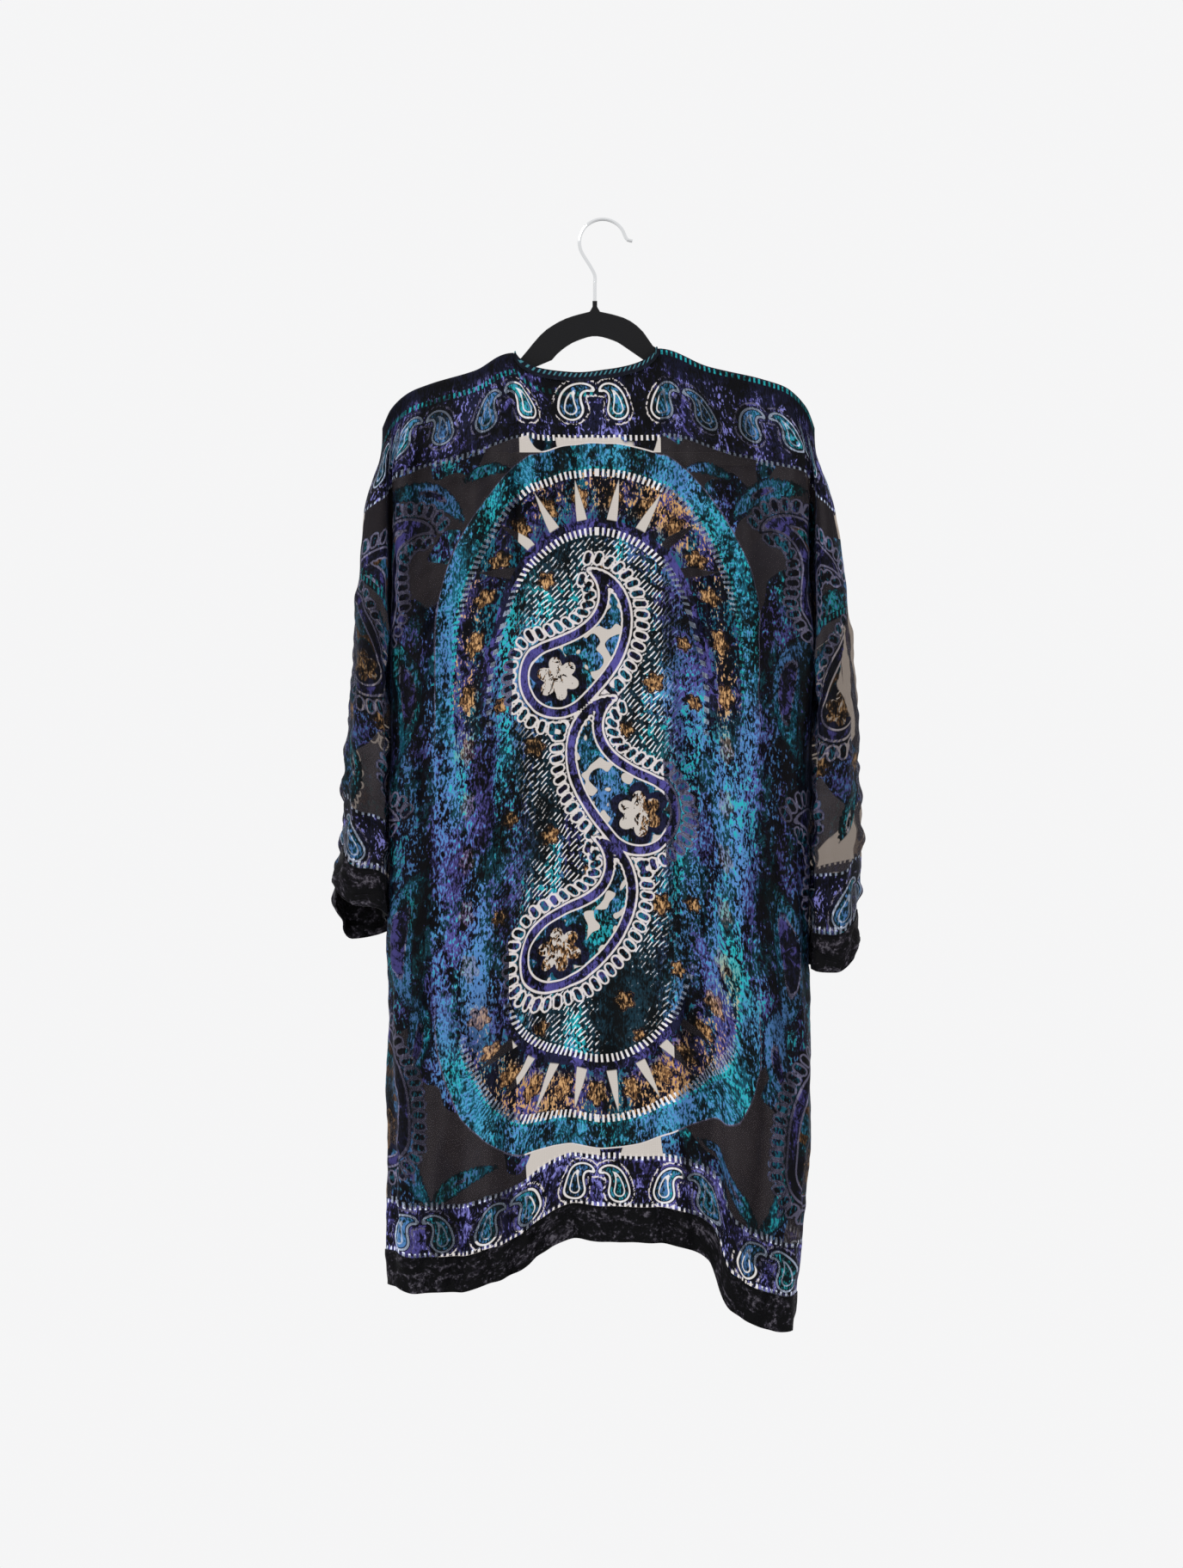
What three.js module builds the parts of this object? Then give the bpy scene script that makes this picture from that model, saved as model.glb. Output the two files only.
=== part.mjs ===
// A velvet kimono duster on a slim flocked hanger, hung from a rail by the hanger's hook.
//
// Frame: millimetres, +Z up, origin where the rail touches the inside of the hook.
// The garment's back faces -Y and its open front faces +Y; the wearer's right sleeve is at +X.
//
// The cloth is one hung surface, cut into panels. Across a side it runs through 16 steps
// ("places") from the middle of the garment to the top fold of the sleeve:
//   0 middle, 4 side of the body, 5 side fold, 8 armpit or side seam,
//   9 to 13 inside of the sleeve, 14 face of the sleeve, 16 fold that carries on the shoulder line.
// The back and the front are two such layers, and they meet along the shoulder and at place 16.
// Down the cloth, a point is given by its drop: the length of cloth from the shoulder line.

import * as THREE from "three";

// ---------- driving dimensions ----------

const WALL = 2; // the velvet with its pile
const SEAM_GAP = 0.3;
const HANGER_THICK = 5;
const HANGER_CLEAR = 0.5;
const RIDGE = HANGER_THICK / 2 + HANGER_CLEAR + WALL / 2; // bend of the cloth over the hanger's arm
const NECKBAND = 9; // height of the band round the neck
const NECKBAND_THICK = 1.2;
const NECK_BACK = 5.5; // how far the neckline hangs behind the hanger
const NECK_TURN = 6; // width over which the neckline climbs on the hanger's arm
const FOLD_HALF = 1.4; // half of the top fold's width at the shoulder's end
const TOP_PARTING = 0.9; // half of the extra gap between the layers at the shoulder's end
const ARM_END = 12.5; // the place where the hanger's arm ends
const HEM_BAND = 36;
const CUFF_BAND = 38;
const MIDDLE_X = -6; // middle of the back panel
const ARMPIT = 8; // the place where back, front and sleeve meet
const FOLD = 16; // the place of the sleeve's top fold
const TOP_EASE = 85; // drop over which the shoulder's shape gives way to the hanging shape
const ARMPIT_EASE = 45; // height over which the folds part below the armpit
const MIDDLE_ARMPIT_Z = -425; // height of the armpit row where it crosses the middle

// ---------- sizes of the two sides, X measured outwards ----------

// The sides' cross-sections, a row for each height. edge: side fold of the body. lip: inside edge of the sleeve.
// top: top fold of the sleeve. depth: Y of the side seam, or of the fold between body and sleeve.
// back, face, foldY, sleeveY: Y of the back, of the sleeve's back face, top fold and front face.
// lean: how far the side seam lies inside the edge. bulge: how far the side swells past the edge.
const SECTION = ["z", "edge", "lip", "top", "depth", "back", "face", "foldY", "sleeveY", "lean", "bulge"];
const table = (columns, rows) => rows.map((row) => Object.fromEntries(columns.map((name, i) => [name, row[i]])));

const RIGHT = {
  sign: 1,
  armpitZ: -440,
  sleeveTopZ: -394,
  sections: table(SECTION, [
    [-190, 203, 207.5, 212, -5.5, 8, 8, 0, 7, 3, 0],
    [-215, 207.5, 213, 218, -5, 12, 12, 1, 9, 3, 0],
    [-250, 210, 216.5, 228, -4.5, 14, 15, 3, 14, 4, 0],
    [-280, 210.5, 217.5, 234, 16, 14, 17, 5, 40, 4, 0],
    [-320, 210.5, 218.5, 241, 44, 14, 19, 8, 66, 5, 0],
    [-380, 210, 218.5, 250, 70, 14, 20, 10, 86, 5, 0],
    [-440, 209.5, 218.5, 255.5, 82, 14, 20, 12, 92, 5, 0],
    [-520, 208, 218, 262.5, 80, 15, 20, 14, 90, 6, 0],
    [-620, 206, 216, 264, 77, 15, 21, 15, 86, 7, 0],
    [-720, 204.5, 214, 261, 73, 16, 22, 16, 82, 9, 0],
    [-830, 209, 218, 261, 70, 16, 22, 16, 82, 12, 1],
    [-920, 211, 220, 261, 67, 16, 22, 16, 82, 17, 1],
    [-1000, 206, 215, 261, 64, 17, 22, 16, 82, 21, 0],
    [-1070, 199, 208, 261, 61, 18, 22, 16, 82, 25, -1],
    [-1140, 190, 199, 261, 58, 18, 22, 16, 82, 28, -2],
  ]),
  // The shoulder line, by place: X and Z of the top of the cloth's middle layer.
  shoulder: [
    { place: 0, x: MIDDLE_X, z: -153.5 },
    { place: 1, x: 57, z: -130.5 },
    { place: 2, x: 108, z: -149 },
    { place: 3, x: 160, z: -161 },
    { place: 4, x: 186, z: -169.5 },
    { place: 5, x: 193, z: -174 },
    { place: 8, x: 202, z: -182.5 },
    { place: 12, x: 210, z: -193.5 },
    { place: 16, x: 217, z: -212 },
  ],
  // The opening edge of the front, and its hem.
  opening: [
    { z: -130, x: 57 },
    { z: -250, x: 60 },
    { z: -560, x: 63 },
    { z: -900, x: 76 },
    { z: -1060, x: 88 },
  ],
  frontHem: { openZ: -1030, sideZ: -1104 },
  seamHemZ: -1112,
  cuff: { foldZ: -743, faceZ: -768, armpitZ: -760, frontZ: -752 },
};

const LEFT = {
  sign: -1,
  armpitZ: -425,
  sleeveTopZ: -359,
  sections: table(SECTION, [
    [-190, 206, 210, 214.5, -5.5, 8, 8, 0, 7, 3, 0],
    [-215, 212, 217, 226, -5, 12, 12, 1, 9, 3, 0],
    [-250, 213.5, 219, 235, -4.5, 14, 15, 3, 14, 4, 0],
    [-280, 213.5, 219.5, 241, 18, 14, 18, 5, 42, 4, 0],
    [-320, 213.5, 220, 246.5, 48, 14, 19, 8, 70, 5, 0],
    [-370, 213.5, 220, 250, 72, 14, 20, 10, 88, 5, 0],
    [-425, 213.5, 220, 253.5, 80, 14, 20, 12, 90, 5, 0],
    [-520, 213, 220, 261.5, 78, 15, 21, 14, 88, 6, 0],
    [-640, 213, 220, 266.5, 74, 15, 22, 15, 84, 7, 0],
    [-680, 214.5, 222, 276, 72, 16, 24, 16, 84, 8, 0],
    [-740, 216.5, 224.5, 272, 70, 16, 24, 16, 82, 10, 0],
    [-800, 212.5, 224, 270, 67, 16, 24, 16, 82, 12, 2],
    [-900, 211.5, 224, 270, 62, 16, 24, 16, 82, 15, 10],
    [-1000, 211.5, 224, 270, 57, 17, 24, 16, 82, 20, 10],
    [-1100, 213, 224, 270, 53, 18, 24, 16, 82, 24, 7],
  ]),
  shoulder: [
    { place: 0, x: -MIDDLE_X, z: -153.5 },
    { place: 1, x: 91, z: -135 },
    { place: 2, x: 131, z: -153.2 },
    { place: 3, x: 173, z: -165.6 },
    { place: 4, x: 194, z: -173.5 },
    { place: 5, x: 201, z: -177.5 },
    { place: 8, x: 209, z: -184 },
    { place: 12, x: 217.5, z: -194 },
    { place: 16, x: 225.5, z: -212 },
  ],
  opening: [
    { z: -135, x: 91 },
    { z: -250, x: 85 },
    { z: -560, x: 95 },
    { z: -760, x: 97 },
    { z: -960, x: 80 },
    { z: -1060, x: 68 },
  ],
  frontHem: { openZ: -1034, sideZ: -1084 },
  seamHemZ: -1084,
  cuff: { foldZ: -677, faceZ: -700, armpitZ: -728, frontZ: -738 },
};

// The back's neckline between the shoulder points, and the back's hem, as X and Z.
const NECKLINE = [
  { x: -91, z: -135 },
  { x: -80, z: -144.5 },
  { x: -67, z: -150.8 },
  { x: -45, z: -154.5 },
  { x: -25, z: -155.8 },
  { x: 6, z: -152.6 },
  { x: 27, z: -148.6 },
  { x: 43, z: -142.5 },
  { x: 57, z: -130.5 },
];
const BACK_HEM = [
  { x: -215, z: -1088 },
  { x: -192, z: -1095.5 },
  { x: -150, z: -1094.5 },
  { x: -110, z: -1083 },
  { x: -88, z: -1075 },
  { x: -66, z: -1058 },
  { x: -46, z: -1045 },
  { x: -28, z: -1039 },
  { x: 0, z: -1042.5 },
  { x: 48, z: -1043 },
  { x: 90, z: -1052 },
  { x: 106, z: -1062 },
  { x: 121, z: -1092 },
  { x: 134, z: -1112 },
  { x: 175, z: -1132.5 },
  { x: 190, z: -1134.5 },
  { x: 215, z: -1128 },
];

// Middle of the back and the fronts, front to back, by height.
const MIDDLE_Y = [
  { z: -150, back: 5.5, front: 5 },
  { z: -250, back: 7, front: 5.5 },
  { z: -320, back: 8, front: 9 },
  { z: -600, back: 12, front: 13 },
  { z: -1140, back: 17, front: 17 },
];

// The largest hanging folds. at: X at the top and at the hem. out: how far the fold stands out
// (negative: a trough). half: half its width. from: where it starts, and it is full 250 mm below.
const BACK_FOLDS = [
  { top: -176, hem: -158, out: -5, half: 24, from: -215 },
  { top: -120, hem: -110, out: 5, half: 26, from: -300 },
  { top: -52, hem: -62, out: -5, half: 26, from: -330 },
  { top: -14, hem: -22, out: 3.5, half: 22, from: -420 },
  { top: 40, hem: 44, out: 5, half: 28, from: -360 },
  { top: 98, hem: 108, out: -8, half: 20, from: -480 },
  { top: 140, hem: 140, out: 7, half: 22, from: -260 },
  { top: 178, hem: 168, out: -5, half: 17, from: -200 },
];
const FRONT_FOLDS = [
  { top: -178, hem: -160, out: 6, half: 20, from: -260 },
  { top: -132, hem: -120, out: -6, half: 22, from: -300 },
  { top: -104, hem: -88, out: 4, half: 16, from: -260 },
  { top: 76, hem: 104, out: 4, half: 16, from: -260 },
  { top: 112, hem: 132, out: -6, half: 22, from: -320 },
  { top: 164, hem: 160, out: 6, half: 22, from: -260 },
];
const FOLD_GROWTH = 250;

// ---------- small helpers ----------

const lerp = (a, b, t) => a + (b - a) * t;
const clamp01 = (t) => Math.min(1, Math.max(0, t));
const smooth = (t) => clamp01(t) ** 2 * (3 - 2 * clamp01(t));

// A column of a table at a key, by a cubic that never overshoots its rows.
function read(rows, key, column, at) {
  const descending = rows[0][key] > rows[rows.length - 1][key];
  const list = descending ? [...rows].reverse() : rows;
  const last = list.length - 1;
  if (at <= list[0][key]) return list[0][column];
  if (at >= list[last][key]) return list[last][column];
  let i = 0;
  while (list[i + 1][key] < at) i += 1;
  const slope = (j) => {
    if (j < 0 || j >= last) return 0;
    return (list[j + 1][column] - list[j][column]) / (list[j + 1][key] - list[j][key]);
  };
  const tangent = (j) => {
    const before = slope(j - 1);
    const after = slope(j);
    if (j === 0) return after;
    if (j === last) return before;
    return before * after <= 0 ? 0 : (2 * before * after) / (before + after);
  };
  const width = list[i + 1][key] - list[i][key];
  const t = (at - list[i][key]) / width;
  const a = list[i][column];
  const b = list[i + 1][column];
  const h = t * t * (3 - 2 * t);
  return (
    lerp(a, b, h) +
    width * (t * (1 - t) * (1 - t) * tangent(i) - t * t * (1 - t) * tangent(i + 1))
  );
}

// A point between b and c on the centripetal curve through a, b, c and d.
function curvePoint(a, b, c, d, t) {
  const knot = (p, q) => Math.max(1e-3, Math.sqrt(Math.hypot(q[0] - p[0], q[1] - p[1])));
  const k1 = knot(a, b);
  const k2 = k1 + knot(b, c);
  const k3 = k2 + knot(c, d);
  const k = lerp(k1, k2, t);
  const mix = (p, q, from, to) => p.map((v, i) => (v * (to - k) + q[i] * (k - from)) / (to - from));
  const ab = mix(a, b, 0, k1);
  const bc = mix(b, c, k1, k2);
  const cd = mix(c, d, k2, k3);
  return mix(mix(ab, bc, 0, k2), mix(bc, cd, k1, k3), k1, k2);
}

// ---------- the hung cloth ----------

// The outline across one side at a height: 17 points for the back layer and 17 for the front.
function outline(side, z) {
  const at = (column) => read(side.sections, "z", column, z);
  const edge = at("edge");
  const lip = at("lip");
  const top = at("top");
  const depth = at("depth");
  const back = at("back");
  const face = at("face");
  const foldY = at("foldY");
  const sleeveY = at("sleeveY");
  const middleBack = read(MIDDLE_Y, "z", "back", z);
  const front = read(MIDDLE_Y, "z", "front", z);
  const open = read(side.opening, "z", "x", z);
  const below = smooth((side.armpitZ - z) / ARMPIT_EASE); // 0 above the armpit, 1 below
  const seamX = edge - at("lean");
  const bulge = at("bulge");
  const wide = top - lip;
  const middle = side.sign * MIDDLE_X;
  const between = (edge + lip) / 2;
  const closing = smooth((z - side.armpitZ) / 70); // the two layers close up towards the armpit
  const leg = depth + back; // how far the body's side runs forward
  const inner = depth + face;
  const frontDepth = Math.max(front + 1, depth + lerp(WALL + 0.8, 9, closing));
  const frontLeg = frontDepth - front;
  const frontEdge = Math.min(edge - 10, seamX - 4);
  const early = smooth((side.armpitZ - z) / 20);
  const sleeve = sleeveY - foldY;
  const mix = (p, q) => [lerp(p[0], q[0], below), lerp(p[1], q[1], below)];
  const backLayer = [
    [middle, -middleBack],
    [lerp(middle, edge, 0.33), -lerp(middleBack, back, 0.4)],
    [lerp(middle, edge, 0.6), -lerp(middleBack, back, 0.8)],
    [lerp(middle, edge, 0.83), -back],
    [edge - 6, -back],
    [edge - 0.5, -back + Math.min(7, 0.3 * leg)],
    [edge + bulge, -back + 0.5 * leg],
    mix([edge + 0.6, -back + 0.9 * leg], [seamX + 2 + 0.5 * bulge, depth - 12]),
    mix([between - 0.6, depth], [seamX + WALL / 2 + SEAM_GAP, depth]),
    mix([lip - 0.6, -face + 0.9 * inner], [lip + 0.5, sleeveY - 18]),
    [lip, -face + 0.65 * inner],
    [lip + 0.02 * wide, -face + 0.35 * inner],
    [lip + 0.03 * wide, -face + Math.min(8, 0.2 * inner)],
    [lip + 0.16 * wide, -face],
    [lip + 0.5 * wide, -face - 1.5],
    [top - 0.13 * wide, -face + 0.18 * (face + foldY)],
    [top, foldY],
  ];
  const frontLayer = [
    [open, front],
    [lerp(open, frontEdge - 8, 0.35), front],
    [lerp(open, frontEdge - 8, 0.7), front],
    [frontEdge - 8, front],
    [frontEdge - 2, front + 0.16 * frontLeg],
    [frontEdge, front + 0.45 * frontLeg],
    [frontEdge + 0.3 * bulge, front + 0.7 * frontLeg],
    mix([edge - 7, front + 0.93 * frontLeg], [seamX - 4 + 0.3 * bulge, front + 0.88 * frontLeg]),
    [lerp(between - 0.6, seamX - WALL / 2 - SEAM_GAP, early), lerp(frontDepth, depth, below)],
    mix([lip + 0.04 * wide, lerp(frontDepth, sleeveY, 0.75)], [lip + 0.07 * wide, sleeveY - 3]),
    [lip + 0.22 * wide, sleeveY - 0.01 * sleeve],
    [lip + 0.5 * wide, sleeveY],
    [top - 0.2 * wide, sleeveY - 0.03 * sleeve],
    [top - 0.05 * wide, sleeveY - 0.14 * sleeve],
    [top + 0.01 * wide, foldY + 0.55 * sleeve],
    [top + 0.01 * wide, foldY + 0.22 * sleeve],
    [top, foldY],
  ];
  const armpit = mix([between + 1.6, depth], [lip + 0.03 * wide, sleeveY - 8]);
  return { back: backLayer, front: frontLayer, sleeveCorner: armpit };
}

// A point of one layer across a side at a height. A sleeve is round below the armpit, and a
// body panel ends in its side seam there.
function across(side, layer, place, z, ofSleeve) {
  const lines = outline(side, z);
  const line = lines[layer].slice();
  const other = lines[layer === "back" ? "front" : "back"];
  const joined = smooth((z - side.armpitZ + ARMPIT_EASE) / ARMPIT_EASE);
  const from = Math.min(FOLD - 1, Math.floor(place));
  if (ofSleeve) line[ARMPIT] = lines.sleeveCorner;
  const point = (i) => {
    if (i < 0) {
      const twin = outline(side === LEFT ? RIGHT : LEFT, z);
      return layer === "back" ? [-twin.back[1][0], twin.back[1][1]] : [2 * line[0][0] - line[1][0], line[0][1]];
    }
    if (i > FOLD) return other[2 * FOLD - i];
    return line[i];
  };
  let before = point(from - 1);
  let after = point(from + 2);
  if (!ofSleeve && from === ARMPIT - 1) {
    const straight = [2 * line[ARMPIT][0] - line[ARMPIT - 1][0], 2 * line[ARMPIT][1] - line[ARMPIT - 1][1]];
    after = [lerp(straight[0], after[0], joined), lerp(straight[1], after[1], joined)];
  }
  if (ofSleeve && from === ARMPIT) {
    const round = other[ARMPIT + 1];
    before = [lerp(round[0], before[0], joined), lerp(round[1], before[1], joined)];
  }
  return curvePoint(before, point(from), point(from + 1), after, place - from);
}

// How far the hanging folds move a layer back or forward.
function foldsAt(folds, x, z) {
  return folds.reduce((sum, fold) => {
    const centre = lerp(fold.top, fold.hem, clamp01((fold.from - z) / 850));
    const grown = smooth((fold.from - z) / FOLD_GROWTH);
    return sum + fold.out * grown * Math.exp(-(((x - centre) / fold.half) ** 2));
  }, 0);
}

function shoulderAt(side, layer, place) {
  const spread = layer === "front" && place < 3 ? lerp(1, 3, place / 3) : place;
  const x = read(side.shoulder, "place", "x", spread);
  const neckline = layer === "back" && place < 1;
  const z = neckline ? read(NECKLINE, "x", "z", side.sign * x) : read(side.shoulder, "place", "z", spread);
  return [x, z];
}

// How much a place bends over the hanger's arm: all of it on the shoulder, none at the free
// edge of the neckline and at the top fold of the sleeve.
function overArm(side, place, topX) {
  const neck = side.shoulder[1].x;
  return smooth((topX - neck + NECK_TURN) / NECK_TURN) * (1 - smooth((place - ARM_END) / (FOLD - ARM_END)));
}

// The middle layer of the cloth, in the part's frame.
function cloth(side, layer, place, drop, ofSleeve = false) {
  const facing = layer === "back" ? -1 : 1;
  const [topX, topZ] = shoulderAt(side, layer, place);
  const over = overArm(side, place, topX);
  const turn = Math.min(drop / RIDGE, Math.PI / 2);
  const bent = RIDGE * (1 - Math.cos(turn)) + Math.max(0, drop - (RIDGE * Math.PI) / 2);
  const z = topZ - lerp(drop, bent, over);
  const [x, y] = across(side, layer, place, z, ofSleeve);
  const hung = smooth(drop / TOP_EASE);
  const offArm = place < 3 ? NECK_BACK : FOLD_HALF * (1 - smooth(place - FOLD + 1));
  const held = facing * lerp(offArm, RIDGE * Math.sin(turn), over);
  const apart = SEAM_GAP / 2 + 0.05 + TOP_PARTING * (1 - hung);
  const parted = ofSleeve ? 0 : facing * apart * smooth(2 * (place - FOLD + 1));
  const hungX = side.sign * lerp(topX, x, hung);
  const flat = 1 - smooth((place - 3.2) / 1.8); // the folds lie on the body, between its sides
  const folds = foldsAt(layer === "back" ? BACK_FOLDS : FRONT_FOLDS, hungX, z);
  return new THREE.Vector3(hungX, lerp(held, y, hung) + parted + facing * flat * folds, z);
}

// The drop at which a place reaches a height below the hanger's arm.
function dropTo(side, layer, place, z) {
  const [topX, topZ] = shoulderAt(side, layer, place);
  return topZ - z + overArm(side, place, topX) * RIDGE * (Math.PI / 2 - 1);
}

// ---------- where the panels end ----------

// The row of the armpits: across the body, and out along the armhole seam to the top fold.
function armpitRow(side, place) {
  if (place <= ARMPIT) return lerp(MIDDLE_ARMPIT_Z, side.armpitZ, smooth(place / ARMPIT));
  return lerp(side.armpitZ, side.sleeveTopZ, smooth((place - ARMPIT) / (FOLD - ARMPIT)));
}

function hemAt(side, layer, place) {
  const toSeam = smooth((place - 5) / (ARMPIT - 5));
  if (layer === "front") {
    const panel = lerp(side.frontHem.openZ, side.frontHem.sideZ, smooth(place / 5));
    return lerp(panel, side.seamHemZ, toSeam);
  }
  const low = cloth(side, layer, Math.min(place, 5), dropTo(side, layer, Math.min(place, 5), -1085));
  return lerp(read(BACK_HEM, "x", "z", low.x), side.seamHemZ, toSeam);
}

function cuffAt(side, layer, place) {
  const { foldZ, faceZ, armpitZ, frontZ } = side.cuff;
  const flatZ = layer === "back" ? faceZ : frontZ;
  const flatPlace = layer === "back" ? 14 : 12;
  if (place < flatPlace) return lerp(armpitZ, flatZ, smooth((place - ARMPIT) / (flatPlace - ARMPIT)));
  return lerp(flatZ, foldZ, smooth((place - flatPlace) / (FOLD - flatPlace)));
}

// ---------- walls of cloth ----------

// A point of the cloth with the way it faces, away from the garment's inside.
function spot(side, layer, place, drop, ofSleeve = false) {
  const step = 0.02;
  const near = Math.max(0, place - step);
  const far = Math.min(FOLD, place + step);
  const corner = ofSleeve && place === ARMPIT;
  const alongRow = cloth(side, layer, far, drop, ofSleeve).sub(
    corner ? cloth(side, layer === "back" ? "front" : "back", far, drop, true) : cloth(side, layer, near, drop, ofSleeve),
  );
  const above = Math.max(0, drop - 0.3);
  const down = cloth(side, layer, place, drop + 0.3, ofSleeve).sub(cloth(side, layer, place, above, ofSleeve));
  const facing = alongRow.cross(down).normalize().multiplyScalar(layer === "front" ? side.sign : -side.sign);
  const rank = side.sign * (layer === "back" ? place : 2 * FOLD - place) + drop * 1e-4;
  return { at: cloth(side, layer, place, drop, ofSleeve), facing, rank };
}

// A closed wall round sheets of spots. Each sheet is a list of rows, and rows that two sheets
// share are made once. lift moves the whole wall outwards.
function wallGeometry(sheets, thickness, lift = 0) {
  const spots = [];
  const known = new Map();
  const indexOf = (s) => {
    const key = s.at.toArray().map((v) => Math.round(v * 1000)).join();
    if (!known.has(key)) {
      known.set(key, spots.length);
      spots.push(s);
    }
    return known.get(key);
  };
  const faces = [];
  for (const rows of sheets) {
    const grid = rows.map((row) => row.map(indexOf));
    const i = Math.floor(grid.length / 2) - 1;
    const j = Math.floor(grid[0].length / 2) - 1;
    const [a, b, c] = [grid[i][j], grid[i + 1][j], grid[i][j + 1]].map((k) => spots[k]);
    const normal = b.at.clone().sub(a.at).cross(c.at.clone().sub(a.at));
    const flip = normal.dot(a.facing) < 0;
    for (let r = 0; r + 1 < grid.length; r += 1) {
      for (let k = 0; k + 1 < grid[r].length; k += 1) {
        const quad = [grid[r][k], grid[r + 1][k], grid[r + 1][k + 1], grid[r][k + 1]];
        if (flip) quad.reverse();
        faces.push([quad[0], quad[1], quad[2]], [quad[0], quad[2], quad[3]]);
      }
    }
  }
  const solidFaces = faces.filter((f) => new Set(f).size === 3);
  const count = spots.length;
  const edges = new Set(solidFaces.flatMap(([a, b, c]) => [`${a},${b}`, `${b},${c}`, `${c},${a}`]));
  const index = [];
  for (const [a, b, c] of solidFaces) index.push(a, b, c, a + count, c + count, b + count);
  for (const edge of edges) {
    const [a, b] = edge.split(",").map(Number);
    if (edges.has(`${b},${a}`)) continue;
    if (spots[a].rank < spots[b].rank) index.push(b, a, b + count, a, a + count, b + count);
    else index.push(b, a, a + count, b, a + count, b + count);
  }
  const outer = spots.map((s) => s.at.clone().addScaledVector(s.facing, lift + thickness / 2));
  const inner = spots.map((s) => s.at.clone().addScaledVector(s.facing, lift - thickness / 2));
  const geometry = new THREE.BufferGeometry().setFromPoints([...outer, ...inner]);
  geometry.setIndex(index);
  geometry.computeVertexNormals();
  return geometry;
}

// ---------- grids over the places and drops ----------

const steps = (from, to, count) => Array.from({ length: count + 1 }, (_, i) => lerp(from, to, i / count));
const NECK_PLACES = [0, 0.25, 0.5, 0.75, 0.88, 0.96, 1];
const BODY_PLACES = [...NECK_PLACES, 1.4, 1.8, 2.2, 2.6, 3, 3.4, 3.7, 4, 4.5, 5, 5.5, 6, 7, ARMPIT];
const FRONT_PLACES = [...steps(0, 4, 6), 4.5, 5, 5.5, 6, 7, ARMPIT];
const WING_PLACES = [9, 10, 11, 12, 13, 14, 15, 15.5, FOLD];
const SLEEVE_PLACES = [ARMPIT, ...WING_PLACES];
const OVER_ROWS = 4; // rows that bend over the hanger's arm
const UPPER_ROWS = 8;
const LOWER_ROWS = 14;
const SLEEVE_ROWS = 9;

// The drops of a column of the upper body, from the shoulder seam to the armpit row.
function upperDrops(side, layer, place) {
  const over = steps(SEAM_GAP / 2, (RIDGE * Math.PI) / 2, OVER_ROWS);
  const end = dropTo(side, layer, place, armpitRow(side, place)) - (place > ARMPIT ? SEAM_GAP / 2 : 0);
  const down = steps(0, 1, UPPER_ROWS).slice(1).map((t) => lerp(over[OVER_ROWS], end, t ** 1.4));
  return [...over, ...down];
}

function lowerDrops(side, layer, place) {
  const start = dropTo(side, layer, place, armpitRow(side, place));
  const end = dropTo(side, layer, place, hemAt(side, layer, place) + HEM_BAND) - SEAM_GAP / 2;
  return [start, ...steps(start + ARMPIT_EASE / 2, end, LOWER_ROWS)];
}

function hemDrops(side, layer, place) {
  const end = dropTo(side, layer, place, hemAt(side, layer, place));
  return steps(end - HEM_BAND + SEAM_GAP / 2, end, 1);
}

// Rows of spots from columns: each column is a side, a layer, a place and its own drops.
function rowsOf(columns, dropsOf, ofSleeve = false) {
  const lists = columns.map(({ side, layer, place }) =>
    dropsOf(side, layer, place).map((drop) => spot(side, layer, place, drop, ofSleeve)),
  );
  return lists[0].map((_, row) => lists.map((list) => list[row]));
}

const columnsOf = (side, layer, places) => places.map((place) => ({ side, layer, place }));
const acrossBack = (places) => [
  ...columnsOf(LEFT, "back", places).reverse(),
  ...columnsOf(RIGHT, "back", places).slice(1),
];
const roundSleeve = (side) => [
  ...columnsOf(side, "back", SLEEVE_PLACES),
  ...columnsOf(side, "front", SLEEVE_PLACES).reverse().slice(1),
];

function backPanel() {
  const upper = rowsOf(acrossBack([...BODY_PLACES, ...WING_PLACES]), upperDrops);
  const lower = rowsOf(acrossBack(BODY_PLACES), lowerDrops);
  return wallGeometry([upper, lower], WALL);
}

function frontPanel(side) {
  const upper = rowsOf(columnsOf(side, "front", [...FRONT_PLACES, ...WING_PLACES]), upperDrops);
  const lower = rowsOf(columnsOf(side, "front", FRONT_PLACES), lowerDrops);
  return wallGeometry([upper, lower], WALL);
}

function sleeve(side) {
  const drops = (s, layer, place) => {
    const corner = 1 - smooth(place - ARMPIT);
    const start = dropTo(s, layer, place, armpitRow(s, place)) + SEAM_GAP / 2 + corner;
    return steps(start, dropTo(s, layer, place, cuffAt(s, layer, place)) - CUFF_BAND - SEAM_GAP / 2, SLEEVE_ROWS);
  };
  return wallGeometry([rowsOf(roundSleeve(side), drops, true)], WALL);
}

function cuff(side) {
  const drops = (s, layer, place) => {
    const end = dropTo(s, layer, place, cuffAt(s, layer, place));
    return steps(end - CUFF_BAND + SEAM_GAP / 2, end, 2);
  };
  return wallGeometry([rowsOf(roundSleeve(side), drops, true)], WALL);
}

// The band round the back of the neck lies on the outside of the back panel.
function neckband() {
  const drops = () => steps(SEAM_GAP / 2, NECKBAND, 3);
  return wallGeometry([rowsOf(acrossBack(NECK_PLACES), drops)], NECKBAND_THICK, WALL / 2 + 3 * SEAM_GAP + NECKBAND_THICK / 2);
}

// ---------- hanger ----------

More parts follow.
